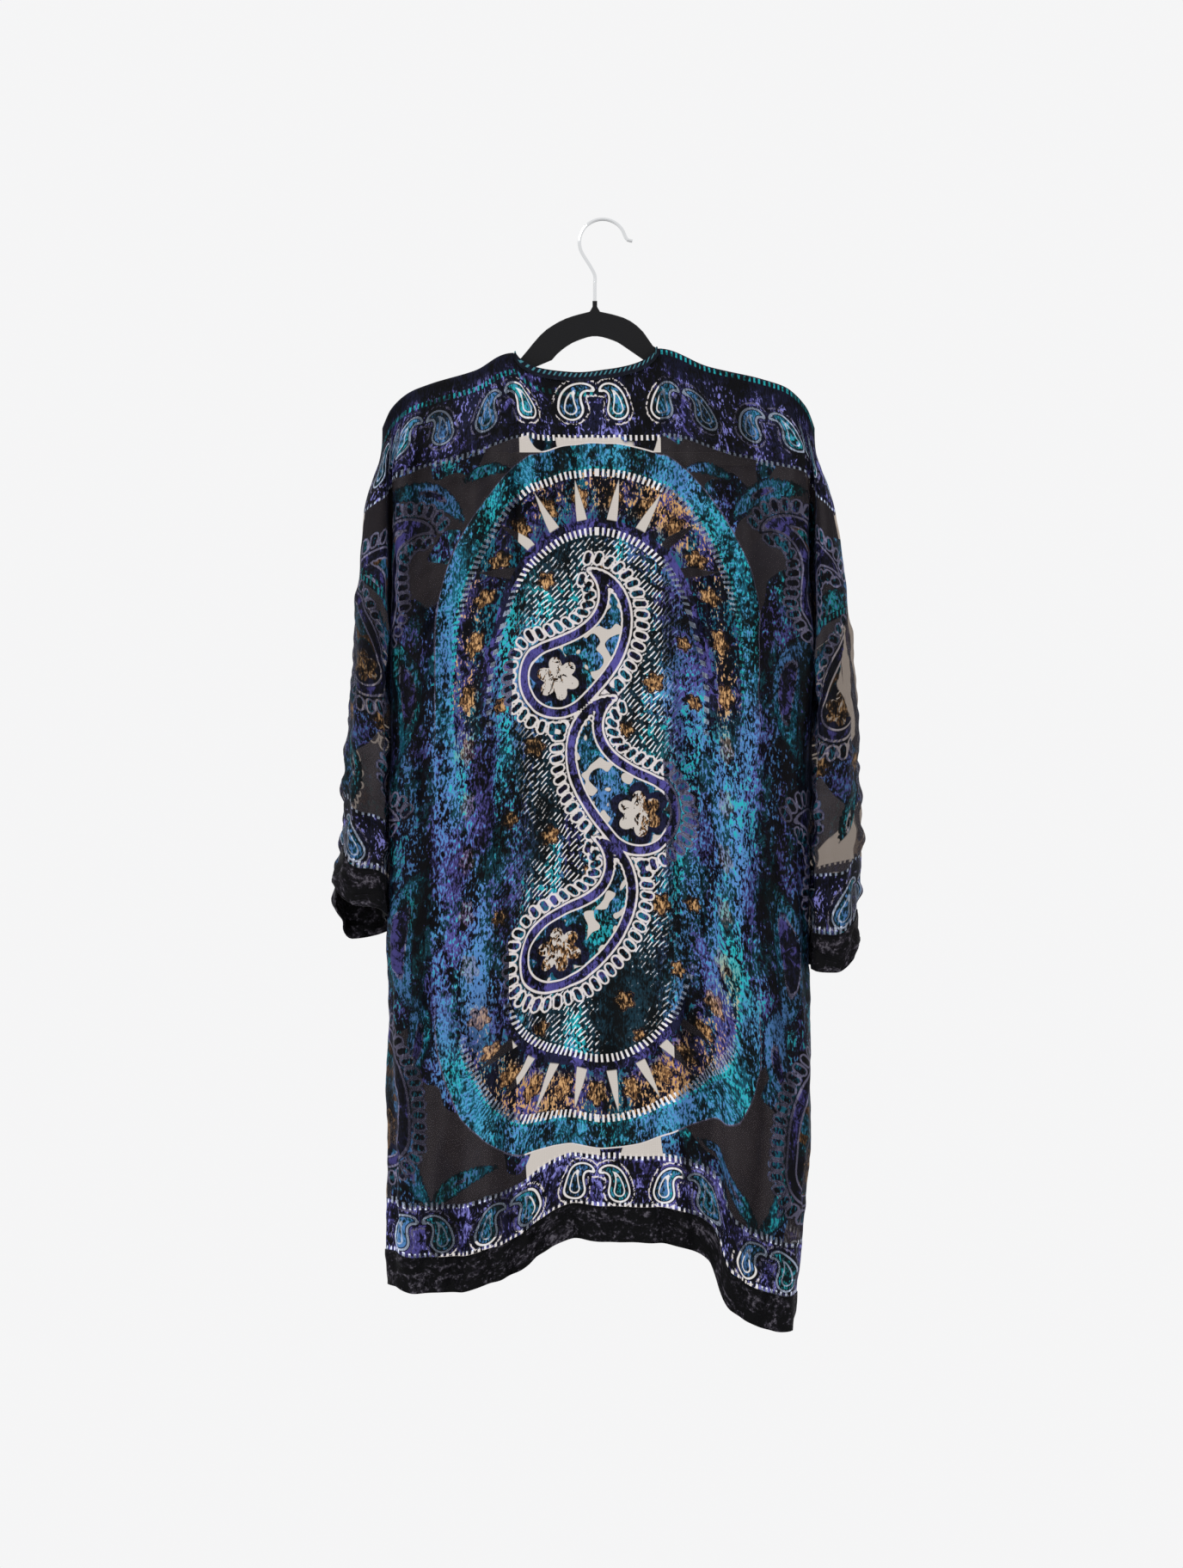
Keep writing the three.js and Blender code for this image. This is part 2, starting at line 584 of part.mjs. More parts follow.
// The hanger's face from the back: arms that carry the shoulders, a rounded arch with the
// hook's neck, and a straight bar below.
const ARCH = [
  { x: -84, z: -141 },
  { x: -57, z: -111 },
  { x: -32, z: -98 },
  { x: -8, z: -93 },
  { x: 18, z: -98 },
  { x: 41, z: -113 },
  { x: 48, z: -134.5 },
];
const HANGER = {
  neckX: -8,
  neckTopZ: -82,
  neckHalf: 2.4,
  collarHalf: 5.3,
  collarZ: -93,
  armDeep: 22,
  archDeep: 25,
  barTopZ: -237,
  barBottomZ: -250,
  leftTip: -208,
  rightTip: 201,
  bevel: 1.5,
  topClear: 1.9, // from the cloth's middle layer down to the arm
};

function hangerGeometry() {
  const armTop = (side, x) => {
    const z = read(side.shoulder.slice(1), "x", "z", x) - HANGER.topClear;
    return new THREE.Vector2(side.sign * x, z);
  };
  const edge = HANGER.bevel;
  const leftArm = steps(-HANGER.leftTip - 4, 94, 8).map((x) => armTop(LEFT, x));
  const rightArm = steps(62, HANGER.rightTip - 4, 8).map((x) => armTop(RIGHT, x));
  const arch = steps(ARCH[0].x, ARCH[ARCH.length - 1].x, 20).map((x) => new THREE.Vector2(x, read(ARCH, "x", "z", x)));
  const left = arch.filter((p) => p.x < HANGER.neckX - HANGER.collarHalf);
  const right = arch.filter((p) => p.x > HANGER.neckX + HANGER.collarHalf);
  const neck = [
    [-HANGER.collarHalf, HANGER.collarZ],
    [-HANGER.neckHalf, HANGER.collarZ + 5],
    [-HANGER.neckHalf, HANGER.neckTopZ],
    [HANGER.neckHalf, HANGER.neckTopZ],
    [HANGER.neckHalf, HANGER.collarZ + 5],
    [HANGER.collarHalf, HANGER.collarZ],
  ].map(([x, z]) => new THREE.Vector2(HANGER.neckX + x, z));
  const tipRound = (tipX, topZ, sign) =>
    steps(0, 1, 6).map((t) => {
      const angle = Math.PI * (0.5 - t);
      const half = (topZ - HANGER.barBottomZ) / 2;
      return new THREE.Vector2(
        tipX + sign * 8 * Math.cos(angle) ** 0.7 - sign * 4,
        (topZ + HANGER.barBottomZ) / 2 + half * Math.sin(angle),
      );
    });
  const rightRound = tipRound(HANGER.rightTip, rightArm[8].y - 0.6, 1);
  const leftRound = tipRound(HANGER.leftTip, leftArm[0].y - 0.6, -1).reverse();
  const leftHalf = [...leftRound, ...leftArm.slice(1), ...left];
  const outlinePoints = [...leftHalf, ...neck, ...right, ...rightArm.slice(0, -1), ...rightRound];
  const holeTop = [
    ...leftArm.map((p) => new THREE.Vector2(p.x, p.y - HANGER.armDeep)).slice(2),
    ...arch.slice(3, -3).map((p) => new THREE.Vector2(HANGER.neckX + (p.x - HANGER.neckX) * 0.78, p.y - HANGER.archDeep)),
    ...rightArm.map((p) => new THREE.Vector2(p.x, p.y - HANGER.armDeep)).slice(0, -2),
  ];
  const holeBottom = [
    new THREE.Vector2(holeTop[holeTop.length - 1].x + 6, HANGER.barTopZ),
    new THREE.Vector2(holeTop[0].x - 6, HANGER.barTopZ),
  ];
  const face = new THREE.Shape(outlinePoints.reverse());
  face.holes.push(new THREE.Path([...holeTop, ...holeBottom]));
  const geometry = new THREE.ExtrudeGeometry(face, {
    depth: HANGER_THICK - 2 * edge,
    bevelThickness: edge,
    bevelSize: edge,
    bevelOffset: -edge,
    bevelSegments: 2,
    curveSegments: 1,
  });
  geometry.translate(0, 0, -HANGER_THICK / 2 + edge);
  geometry.rotateX(Math.PI / 2);
  return geometry;
}

const HOOK = { wire: 3.6, inside: 22, startAngle: 215, endAngle: 16 };

function hookGeometry() {
  const radius = HOOK.inside + HOOK.wire / 2;
  const round = steps(HOOK.startAngle, HOOK.endAngle, 14).map((degrees) => {
    const angle = (degrees * Math.PI) / 180;
    return new THREE.Vector3(radius * Math.cos(angle), 0, -HOOK.inside + radius * Math.sin(angle));
  });
  const path = new THREE.CatmullRomCurve3([
    new THREE.Vector3(HANGER.neckX, 0, HANGER.neckTopZ + SEAM_GAP),
    new THREE.Vector3(HANGER.neckX, 0, -66),
    new THREE.Vector3(HANGER.neckX, 0, -56),
    new THREE.Vector3(-11.5, 0, -48.5),
    ...round,
    new THREE.Vector3(25.2, 0, -19.2),
    new THREE.Vector3(30.5, 0, -20.6),
  ]);
  const section = new THREE.Shape();
  section.absarc(0, 0, HOOK.wire / 2, 0, 2 * Math.PI);
  return new THREE.ExtrudeGeometry(section, { steps: 56, extrudePath: path, curveSegments: 4 });
}

// ---------- the part ----------

const velvet = new THREE.MeshStandardMaterial({ color: 0x12404f, roughness: 0.9, metalness: 0 });
const plainVelvet = new THREE.MeshStandardMaterial({ color: 0x0b0b12, roughness: 0.95, metalness: 0 });
const flock = new THREE.MeshStandardMaterial({ color: 0x101012, roughness: 1, metalness: 0 });
const chrome = new THREE.MeshStandardMaterial({ color: 0xc8ccd0, roughness: 0.15, metalness: 1 });

function node(name, geometry, material) {
  const mesh = new THREE.Mesh(geometry, material);
  mesh.name = name;
  return mesh;
}

const part = new THREE.Group();
part.add(
  node("hook", hookGeometry(), chrome),
  node("hanger", hangerGeometry(), flock),
  node("back", backPanel(), velvet),
  node("neckband", neckband(), plainVelvet),
  node("hem_back", wallGeometry([rowsOf(acrossBack(BODY_PLACES), hemDrops)], WALL), plainVelvet),
);
for (const [word, side] of [["left", LEFT], ["right", RIGHT]]) {
  const frontHem = rowsOf(columnsOf(side, "front", FRONT_PLACES), hemDrops);
  part.add(
    node(`front_${word}`, frontPanel(side), velvet),
    node(`sleeve_${word}`, sleeve(side), velvet),
    node(`cuff_${word}`, cuff(side), plainVelvet),
    node(`hem_front_${word}`, wallGeometry([frontHem], WALL), plainVelvet),
  );
}

export default part;
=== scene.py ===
"""A burnout velvet kimono duster on a slim flocked hanger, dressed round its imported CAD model.

The cloth is worked out in millimetres by the same hung surface as the CAD walls: a side runs
through 16 "places", from the middle (0) past the side fold (5) and the armpit (8) to the top fold
of the sleeve (16), and "drop" is the length of cloth below the shoulder line. U and V are the
cloth's flat coordinates, across from the middle and down from the shoulder line.
"""

import math

from types import SimpleNamespace

import bpy
import numpy as np
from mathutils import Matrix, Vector


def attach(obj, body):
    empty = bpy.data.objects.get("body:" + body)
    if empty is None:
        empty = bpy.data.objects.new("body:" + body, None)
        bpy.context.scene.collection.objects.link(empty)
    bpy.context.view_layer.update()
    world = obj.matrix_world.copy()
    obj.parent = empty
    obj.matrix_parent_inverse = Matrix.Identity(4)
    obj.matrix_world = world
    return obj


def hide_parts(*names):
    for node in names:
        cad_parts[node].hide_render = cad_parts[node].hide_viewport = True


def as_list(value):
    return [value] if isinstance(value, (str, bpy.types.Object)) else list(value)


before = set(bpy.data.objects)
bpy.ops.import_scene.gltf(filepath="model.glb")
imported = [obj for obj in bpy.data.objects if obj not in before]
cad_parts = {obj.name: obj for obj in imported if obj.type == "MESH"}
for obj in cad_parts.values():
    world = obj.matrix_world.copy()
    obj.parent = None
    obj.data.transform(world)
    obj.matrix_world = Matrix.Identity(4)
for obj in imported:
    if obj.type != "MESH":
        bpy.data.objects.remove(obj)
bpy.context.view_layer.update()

# ---------- sizes, in millimetres ----------

WALL = 2
HANGER_THICK = 5
HANGER_CLEAR = 0.5
RIDGE = HANGER_THICK / 2 + HANGER_CLEAR + WALL / 2
NECKBAND = 9
NECK_BACK = 5.5
NECK_TURN = 6
FOLD_HALF = 1.4
SEAM_GAP = 0.3
STITCH_IN = 3  # from a sleeve's seam to its stitches
ARM_END = 12.5
HEM_BAND = 36
CUFF_BAND = 38
MIDDLE_X = -6
SIDE_FOLD, ARMPIT, FOLD = 5, 8, 16  # places
TOP_EASE = 85
ARMPIT_EASE = 45
SEAM_EASE = 20
CLOSING_EASE = 70
MIDDLE_ARMPIT_Z = -425
MEAN_HEM_Z = -1085
FOLD_GROWTH = 250
FOLD_RUN = 850
REVERSE_GAP = 0.7  # from a front's pile to its wrong side
CLOTH_LENGTH = 910  # the printed length that every column is brought to
MESH_STEP = 2.7  # spacing of the fine mesh


def table(columns, rows):
    return [dict(zip(columns, row)) for row in rows]


SECTION = ("z", "edge", "lip", "top", "depth", "back", "face", "fold_y", "sleeve_y", "lean", "bulge")

RIGHT = dict(
    sign=1,
    armpit_z=-440,
    sleeve_top_z=-394,
    sections=table(SECTION, [
        (-190, 203, 207.5, 212, -5.5, 8, 8, 0, 7, 3, 0),
        (-215, 207.5, 213, 218, -5, 12, 12, 1, 9, 3, 0),
        (-250, 210, 216.5, 228, -4.5, 14, 15, 3, 14, 4, 0),
        (-280, 210.5, 217.5, 234, 16, 14, 17, 5, 40, 4, 0),
        (-320, 210.5, 218.5, 241, 44, 14, 19, 8, 66, 5, 0),
        (-380, 210, 218.5, 250, 70, 14, 20, 10, 86, 5, 4),
        (-440, 209.5, 218.5, 255.5, 82, 14, 20, 12, 92, 5, 7),
        (-520, 208, 217, 262.5, 80, 15, 20, 14, 90, 6, 7.5),
        (-620, 206, 215, 264, 77, 15, 21, 15, 86, 7, 7.5),
        (-720, 205, 214, 261, 73, 16, 22, 16, 82, 9, 7),
        (-830, 209, 216, 261, 70, 16, 22, 16, 82, 12, 4),
        (-920, 211, 220, 261, 67, 16, 22, 16, 82, 17, 1),
        (-1000, 206, 215, 261, 64, 17, 22, 16, 82, 21, 0),
        (-1070, 199, 208, 261, 61, 18, 22, 16, 82, 25, -1),
        (-1140, 190, 199, 261, 58, 18, 22, 16, 82, 28, -2),
    ]),
    shoulder=table(("place", "x", "z"), [
        (0, MIDDLE_X, -153.5), (1, 57, -130.5), (2, 108, -149), (3, 160, -161), (4, 186, -169.5),
        (5, 193, -174), (8, 202, -182.5), (12, 210, -193.5), (16, 217, -212),
    ]),
    opening=table(("z", "x"), [
        (-130, 57), (-250, 60), (-560, 63), (-900, 76), (-1060, 88),
    ]),
    front_hem=(-1030, -1104),
    seam_hem=-1112,
    cuff=dict(fold=-743, face=-768, armpit=-760, front=-752),
)

LEFT = dict(
    sign=-1,
    armpit_z=-425,
    sleeve_top_z=-359,
    sections=table(SECTION, [
        (-190, 206, 210, 214.5, -5.5, 8, 8, 0, 7, 3, 0),
        (-215, 212, 217, 226, -5, 12, 12, 1, 9, 3, 0),
        (-250, 213.5, 219, 235, -4.5, 14, 15, 3, 14, 4, 0),
        (-280, 213.5, 219.5, 241, 18, 14, 18, 5, 42, 4, 0),
        (-320, 213.5, 220, 246.5, 48, 14, 19, 8, 70, 5, 0),
        (-370, 213.5, 220, 250, 72, 14, 20, 10, 88, 5, 4),
        (-425, 213.5, 220, 253.5, 80, 14, 20, 12, 90, 5, 5.6),
        (-520, 213, 220, 261.5, 78, 15, 21, 14, 88, 6, 6.2),
        (-640, 213, 220, 266.5, 74, 15, 22, 15, 84, 7, 6.2),
        (-680, 214.5, 221.5, 276, 72, 16, 24, 16, 84, 8, 6.2),
        (-740, 215.5, 221, 272, 70, 16, 24, 16, 82, 10, 4.8),
        (-800, 213, 219.5, 270, 67, 16, 24, 16, 82, 12, 5.8),
        (-900, 211.5, 224, 270, 62, 16, 24, 16, 82, 15, 10),
        (-1000, 211.5, 224, 270, 57, 17, 24, 16, 82, 20, 10),
        (-1100, 213, 224, 270, 53, 18, 24, 16, 82, 24, 7),
    ]),
    shoulder=table(("place", "x", "z"), [
        (0, -MIDDLE_X, -153.5), (1, 91, -135), (2, 131, -153.2), (3, 173, -165.6),
        (4, 194, -173.5), (5, 201, -177.5), (8, 209, -184), (12, 217.5, -194), (16, 225.5, -212),
    ]),
    opening=table(("z", "x"), [
        (-135, 91), (-250, 85), (-560, 95), (-760, 97), (-960, 80), (-1060, 68),
    ]),
    front_hem=(-1034, -1084),
    seam_hem=-1084,
    cuff=dict(fold=-677, face=-700, armpit=-728, front=-738),
)

NECKLINE = table(("x", "z"), [
    (-91, -135), (-80, -144.5), (-67, -150.8), (-45, -154.5), (-25, -155.8), (6, -152.6),
    (27, -148.6), (43, -142.5), (57, -130.5),
])

BACK_HEM = table(("x", "z"), [
    (-215, -1088), (-192, -1095.5), (-150, -1094.5), (-110, -1083), (-88, -1075), (-66, -1058),
    (-46, -1045), (-28, -1039), (0, -1042.5), (48, -1043), (90, -1052), (106, -1062), (121, -1092),
    (134, -1112), (175, -1132.5), (190, -1134.5), (215, -1128),
])

MIDDLE_Y = table(("z", "back", "front"), [
    (-150, 5.5, 5), (-250, 7, 5.5), (-320, 8, 9), (-600, 12, 13), (-1140, 17, 17),
])

BACK_FOLDS = table(("top", "hem", "out", "half", "from"), [
    (-176, -158, -5, 24, -215), (-120, -110, 5, 26, -300), (-52, -62, -5, 26, -330),
    (-14, -22, 3.5, 22, -420), (40, 44, 5, 28, -360), (98, 108, -8, 20, -480),
    (140, 140, 7, 22, -260), (178, 168, -5, 17, -200),
])

FRONT_FOLDS = table(("top", "hem", "out", "half", "from"), [
    (-178, -160, 6, 20, -260), (-132, -120, -6, 22, -300), (-104, -88, 4, 16, -260),
    (76, 104, 4, 16, -260), (112, 132, -6, 22, -320), (164, 160, 6, 22, -260),
])

# ---------- the hung cloth ----------


def lerp(a, b, t):
    return a + (b - a) * t


def smooth(t):
    t = np.clip(t, 0, 1)
    return t * t * (3 - 2 * t)


def read(rows, key, name, at):
    """A column of a table at a key, by a cubic that never overshoots its rows."""
    ordered = sorted(rows, key=lambda row: row[key])
    k = np.array([row[key] for row in ordered], float)
    v = np.array([row[name] for row in ordered], float)
    at = np.clip(np.asarray(at, float), k[0], k[-1])
    i = np.clip(np.searchsorted(k, at, side="right") - 1, 0, len(k) - 2)
    slope = np.diff(v) / np.diff(k)
    rising = slope[:-1] * slope[1:] > 0
    middle = 2 * slope[:-1] * slope[1:] / np.where(rising, slope[:-1] + slope[1:], 1)
    tangent = np.concatenate([[slope[0]], np.where(rising, middle, 0), [slope[-1]]])
    width = k[i + 1] - k[i]
    t = (at - k[i]) / width
    bend = t * (1 - t) ** 2 * tangent[i] - t * t * (1 - t) * tangent[i + 1]
    return lerp(v[i], v[i + 1], smooth(t)) + width * bend


def section(side, z):
    """The measures of one side at heights z, from which its outline is worked out."""
    s = SimpleNamespace(**{name: read(side["sections"], "z", name, z) for name in SECTION[1:]})
    s.middle = side["sign"] * MIDDLE_X + 0 * z
    s.middle_back = read(MIDDLE_Y, "z", "back", z)
    s.front = read(MIDDLE_Y, "z", "front", z)
    s.start = read(side["opening"], "z", "x", z)
    s.below = smooth((side["armpit_z"] - z) / ARMPIT_EASE)
    s.early = smooth((side["armpit_z"] - z) / SEAM_EASE)
    closing = smooth((z - side["armpit_z"]) / CLOSING_EASE)
    s.seam_x = s.edge - s.lean
    s.wide = s.top - s.lip
    s.between = (s.edge + s.lip) / 2
    s.inner = s.depth + s.face
    s.front_depth = np.maximum(s.front + 1, s.depth + lerp(WALL + 0.8, 9, closing))
    s.front_leg = s.front_depth - s.front
    s.front_edge = np.minimum(s.edge - 10, s.seam_x - 4)
    s.sleeve = s.sleeve_y - s.fold_y
    return s


def passing(s, above, below):
    """A point that moves from one spot to another as the outline passes the armpit."""
    return lerp(above[0], below[0], s.below), lerp(above[1], below[1], s.below)


def back_line(s):
    """The back layer: round the body to the armpit, then round the sleeve to its top fold."""
    leg = s.depth + s.back
    return [
        (s.middle, -s.middle_back),
        (lerp(s.middle, s.edge, 0.33), -lerp(s.middle_back, s.back, 0.4)),
        (lerp(s.middle, s.edge, 0.6), -lerp(s.middle_back, s.back, 0.8)),
        (lerp(s.middle, s.edge, 0.83), -s.back),
        (s.edge - 6, -s.back),
        (s.edge - 0.5, -s.back + np.minimum(7, 0.3 * leg)),
        (s.edge + s.bulge, -s.back + 0.5 * leg),
        passing(s, (s.edge + 0.6, -s.back + 0.9 * leg), (s.seam_x + 2 + 0.5 * s.bulge, s.depth - 12)),
        passing(s, (s.between - 0.6, s.depth), (s.seam_x + 0.2, s.depth)),
        passing(s, (s.lip - 0.6, -s.face + 0.9 * s.inner), (s.lip + 0.5, s.sleeve_y - 18)),
        (s.lip, -s.face + 0.65 * s.inner),
        (s.lip + 0.02 * s.wide, -s.face + 0.35 * s.inner),
        (s.lip + 0.03 * s.wide, -s.face + np.minimum(8, 0.2 * s.inner)),
        (s.lip + 0.16 * s.wide, -s.face),
        (s.lip + 0.5 * s.wide, -s.face - 1.5),
        (s.top - 0.13 * s.wide, -s.face + 0.18 * (s.face + s.fold_y)),
        (s.top, s.fold_y),
    ]


def front_line(s):
    """The front layer: from the opening's edge to the armpit, and round to the same top fold."""
    near_seam = (s.seam_x - 4 + 0.3 * s.bulge, s.front + 0.88 * s.front_leg)
    in_sleeve = (s.lip + 0.07 * s.wide, s.sleeve_y - 3)
    return [
        (s.start, s.front),
        (lerp(s.start, s.front_edge - 8, 0.35), s.front),
        (lerp(s.start, s.front_edge - 8, 0.7), s.front),
        (s.front_edge - 8, s.front),
        (s.front_edge - 2, s.front + 0.16 * s.front_leg),
        (s.front_edge, s.front + 0.45 * s.front_leg),
        (s.front_edge + 0.3 * s.bulge, s.front + 0.7 * s.front_leg),
        passing(s, (s.edge - 7, s.front + 0.93 * s.front_leg), near_seam),
        (lerp(s.between - 0.6, s.seam_x - 0.2, s.early), lerp(s.front_depth, s.depth, s.below)),
        passing(s, (s.lip + 0.04 * s.wide, lerp(s.front_depth, s.sleeve_y, 0.75)), in_sleeve),
        (s.lip + 0.22 * s.wide, s.sleeve_y - 0.01 * s.sleeve),
        (s.lip + 0.5 * s.wide, s.sleeve_y),
        (s.top - 0.2 * s.wide, s.sleeve_y - 0.03 * s.sleeve),
        (s.top - 0.05 * s.wide, s.sleeve_y - 0.14 * s.sleeve),
        (s.top + 0.01 * s.wide, s.fold_y + 0.55 * s.sleeve),
        (s.top + 0.01 * s.wide, s.fold_y + 0.22 * s.sleeve),
        (s.top, s.fold_y),
    ]


def outline(side, z):
    """The outline across one side at heights z: 17 points of each layer, and the sleeve's corner."""
    s = section(side, z)
    corner = passing(s, (s.between + 1.6, s.depth), (s.lip + 0.03 * s.wide, s.sleeve_y - 8))
    return {"back": np.array(back_line(s)), "front": np.array(front_line(s)), "corner": np.array(corner)}


def curve_point(a, b, c, d, t):
    """Points between b and c on the centripetal curves through a, b, c and d, each (2, n)."""

    def knot(p, q):
        return np.maximum(1e-3, np.sqrt(np.hypot(q[0] - p[0], q[1] - p[1])))

    k1 = knot(a, b)
    k2 = k1 + knot(b, c)
    k3 = k2 + knot(c, d)
    k = lerp(k1, k2, t)

    def mix(p, q, start, end):
        return (p * (end - k) + q * (k - start)) / (end - start)

    ab, bc, cd = mix(a, b, 0 * k1, k1), mix(b, c, k1, k2), mix(c, d, k2, k3)
    return mix(mix(ab, bc, 0 * k1, k2), mix(bc, cd, k1, k3), k1, k2)


def across(side, layer, place, z, of_sleeve):
    """Points of one layer across a side: x outwards and y, for places and heights (n)."""
    lines = outline(side, z)
    line = lines[layer].copy()
    other = lines["front" if layer == "back" else "back"]
    joined = smooth((z - side["armpit_z"] + ARMPIT_EASE) / ARMPIT_EASE)
    if of_sleeve:
        line[ARMPIT] = lines["corner"]
    if layer == "back":
        twin = outline(RIGHT if side is LEFT else LEFT, z)["back"][1]
        first = np.array([-twin[0], twin[1]])
    else:
        first = np.array([2 * line[0][0] - line[1][0], line[0][1]])
    points = np.concatenate([[first], line, [other[FOLD - 1], other[FOLD - 2]]])
    start = np.minimum(FOLD - 1, np.floor(place)).astype(int)
    n = np.arange(len(place))
    before, here, then, after = (points[start + i, :, n].T for i in range(4))
    if of_sleeve:
        at_corner = start == ARMPIT
        rounded = lerp(other[ARMPIT + 1], before, joined)
        before = np.where(at_corner, rounded, before)
    else:
        at_seam = start == ARMPIT - 1
        straight = 2 * then - here
        after = np.where(at_seam, lerp(straight, after, joined), after)
    return curve_point(before, here, then, after, place - start)


def folds_at(folds, x, z):
    """How far the large folds stand out of the body."""
    total = 0 * x
    for fold in folds:
        centre = lerp(fold["top"], fold["hem"], np.clip((fold["from"] - z) / FOLD_RUN, 0, 1))
        grown = smooth((fold["from"] - z) / FOLD_GROWTH)
        total = total + fold["out"] * grown * np.exp(-(((x - centre) / fold["half"]) ** 2))
    return total


def shoulder_at(side, layer, place):
    """X outwards and Z of the shoulder line, or of the neckline at the back."""
    spread = np.where(place < 3, lerp(1, 3, place / 3), place) if layer == "front" else place
    x = read(side["shoulder"], "place", "x", spread)
    z = read(side["shoulder"], "place", "z", spread)
    if layer == "back":
        z = np.where(place < 1, read(NECKLINE, "x", "z", side["sign"] * x), z)
    return x, z


def over_arm(side, place, top_x):
    """1 where the cloth lies over the hanger's arm, 0 at the neck and past the arm's end."""
    neck = side["shoulder"][1]["x"]
    past_neck = smooth((top_x - neck + NECK_TURN) / NECK_TURN)
    return past_neck * (1 - smooth((place - ARM_END) / (FOLD - ARM_END)))


def cloth(side, layer, place, drop, of_sleeve=False):
    """The middle of the cloth as (n, 3), for places and drops (n)."""
    facing = -1 if layer == "back" else 1
    top_x, top_z = shoulder_at(side, layer, place)
    over = over_arm(side, place, top_x)
    turn = np.minimum(drop / RIDGE, math.pi / 2)
    bent = RIDGE * (1 - np.cos(turn)) + np.maximum(0, drop - RIDGE * math.pi / 2)
    z = top_z - lerp(drop, bent, over)
    x, y = across(side, layer, place, z, of_sleeve)
    hung = smooth(drop / TOP_EASE)
    off_arm = np.where(place < 3, NECK_BACK, FOLD_HALF * (1 - smooth(place - FOLD + 1)))
    held = facing * lerp(off_arm, RIDGE * np.sin(turn), over)
    hung_x = side["sign"] * lerp(top_x, x, hung)
    flat = 1 - smooth((place - 3.2) / 1.8)
    folds = folds_at(BACK_FOLDS if layer == "back" else FRONT_FOLDS, hung_x, z)
    return np.stack([hung_x, lerp(held, y, hung) + facing * flat * folds, z], axis=-1)


def drop_to(side, layer, place, z):
    """The drop at which the cloth is at a height."""
    top_x, top_z = shoulder_at(side, layer, place)
    return top_z - z + over_arm(side, place, top_x) * RIDGE * (math.pi / 2 - 1)


def armpit_row(side, _, place):
    """Where the upper grid ends: level with the armpit on the body, and rising over the sleeve."""
    body = lerp(MIDDLE_ARMPIT_Z, side["armpit_z"], smooth(place / ARMPIT))
    wing = lerp(side["armpit_z"], side["sleeve_top_z"], smooth((place - ARMPIT) / (FOLD - ARMPIT)))
    return np.where(place <= ARMPIT, body, wing)


def hem_at(side, layer, place):
    to_seam = smooth((place - SIDE_FOLD) / (ARMPIT - SIDE_FOLD))
    if layer == "front":
        panel = lerp(side["front_hem"][0], side["front_hem"][1], smooth(place / SIDE_FOLD))
    else:
        inside = np.minimum(place, SIDE_FOLD)
        low = cloth(side, layer, inside, drop_to(side, layer, inside, MEAN_HEM_Z))
        panel = read(BACK_HEM, "x", "z", low[:, 0])
    return lerp(panel, side["seam_hem"], to_seam)


def cuff_at(side, layer, place):
    cuff = side["cuff"]
    flat_z, flat_place = (cuff["face"], 14) if layer == "back" else (cuff["front"], 12)
    inner = lerp(cuff["armpit"], flat_z, smooth((place - ARMPIT) / (flat_place - ARMPIT)))
    outer = lerp(flat_z, cuff["fold"], smooth((place - flat_place) / (FOLD - flat_place)))
    return np.where(place < flat_place, inner, outer)


# ---------- fine grids ----------


def arc_lengths(line):
    """The lengths along a line of points, from its first."""
    return np.concatenate([[0], np.cumsum(np.linalg.norm(np.diff(line, axis=0), axis=1))])


def even_places(side, layer, start, end, z, step=MESH_STEP, of_sleeve=False):
    """Places spaced about one mesh step apart, and their arc lengths from start, at a height."""
    fine = np.linspace(start, end, 600)
    row = cloth(side, layer, fine, drop_to(side, layer, fine, z), of_sleeve)
    arc = arc_lengths(row[:, :2])
    even = np.linspace(0, arc[-1], max(2, round(arc[-1] / step)) + 1)
    return np.interp(even, arc, fine), even


class Columns:
    """Columns of cloth: for each a side, a layer, a place and the flat coordinate U."""

    def __init__(self, parts):
        self.parts = parts
        self.place = np.concatenate([place for *_, place, _ in parts])
        self.u = np.concatenate([u for *_, u in parts])

    def grid(self, drops, function):
        """function(side, layer, place, drop) for every point of a grid of drops, joined."""
        made, start = [], 0
        for side, layer, place, _ in self.parts:
            stop = start + len(place)
            made.append(function(side, layer, place, drops[:, start:stop]))
            start = stop
        return np.concatenate(made, axis=1)

    def drops_to(self, height):
        """The drop of every column to its own height(side, layer, place)."""
        parts = [(side, layer, place) for side, layer, place, _ in self.parts]
        return np.concatenate([drop_to(*part, height(*part)) for part in parts])

    def points(self, drops, of_sleeve=False):
        """The cloth's points (rows, columns, 3) for drops (rows, columns)."""

        def made(side, layer, place, drop):
            flat = cloth(side, layer, np.tile(place, len(drop)), drop.ravel(), of_sleeve)
            return flat.reshape(*drop.shape, 3)

        return self.grid(drops, made)


def rows_between(start, end):
    """Drops (rows, columns) from start to end of each column, about a mesh step apart."""
    count = max(1, round(float(np.max(end - start)) / MESH_STEP))
    return lerp(start[None, :], end[None, :], np.linspace(0, 1, count + 1)[:, None])


def grid_normals(points, outward):
    """Unit normals of a grid of points, turned so that the middle one faces outward."""
    normal = np.cross(np.gradient(points, axis=1), np.gradient(points, axis=0))
    normal /= np.maximum(1e-9, np.linalg.norm(normal, axis=-1, keepdims=True))
    middle = normal[points.shape[0] // 2, points.shape[1] // 2]
    return normal * (1 if np.dot(middle, outward) > 0 else -1)


def raised(points, outward, height):
    """A grid of points moved out of the cloth by heights in millimetres."""
    return points + grid_normals(points, outward) * np.asarray(height)[..., None]


# ---------- the print, drawn in flat cloth coordinates ----------

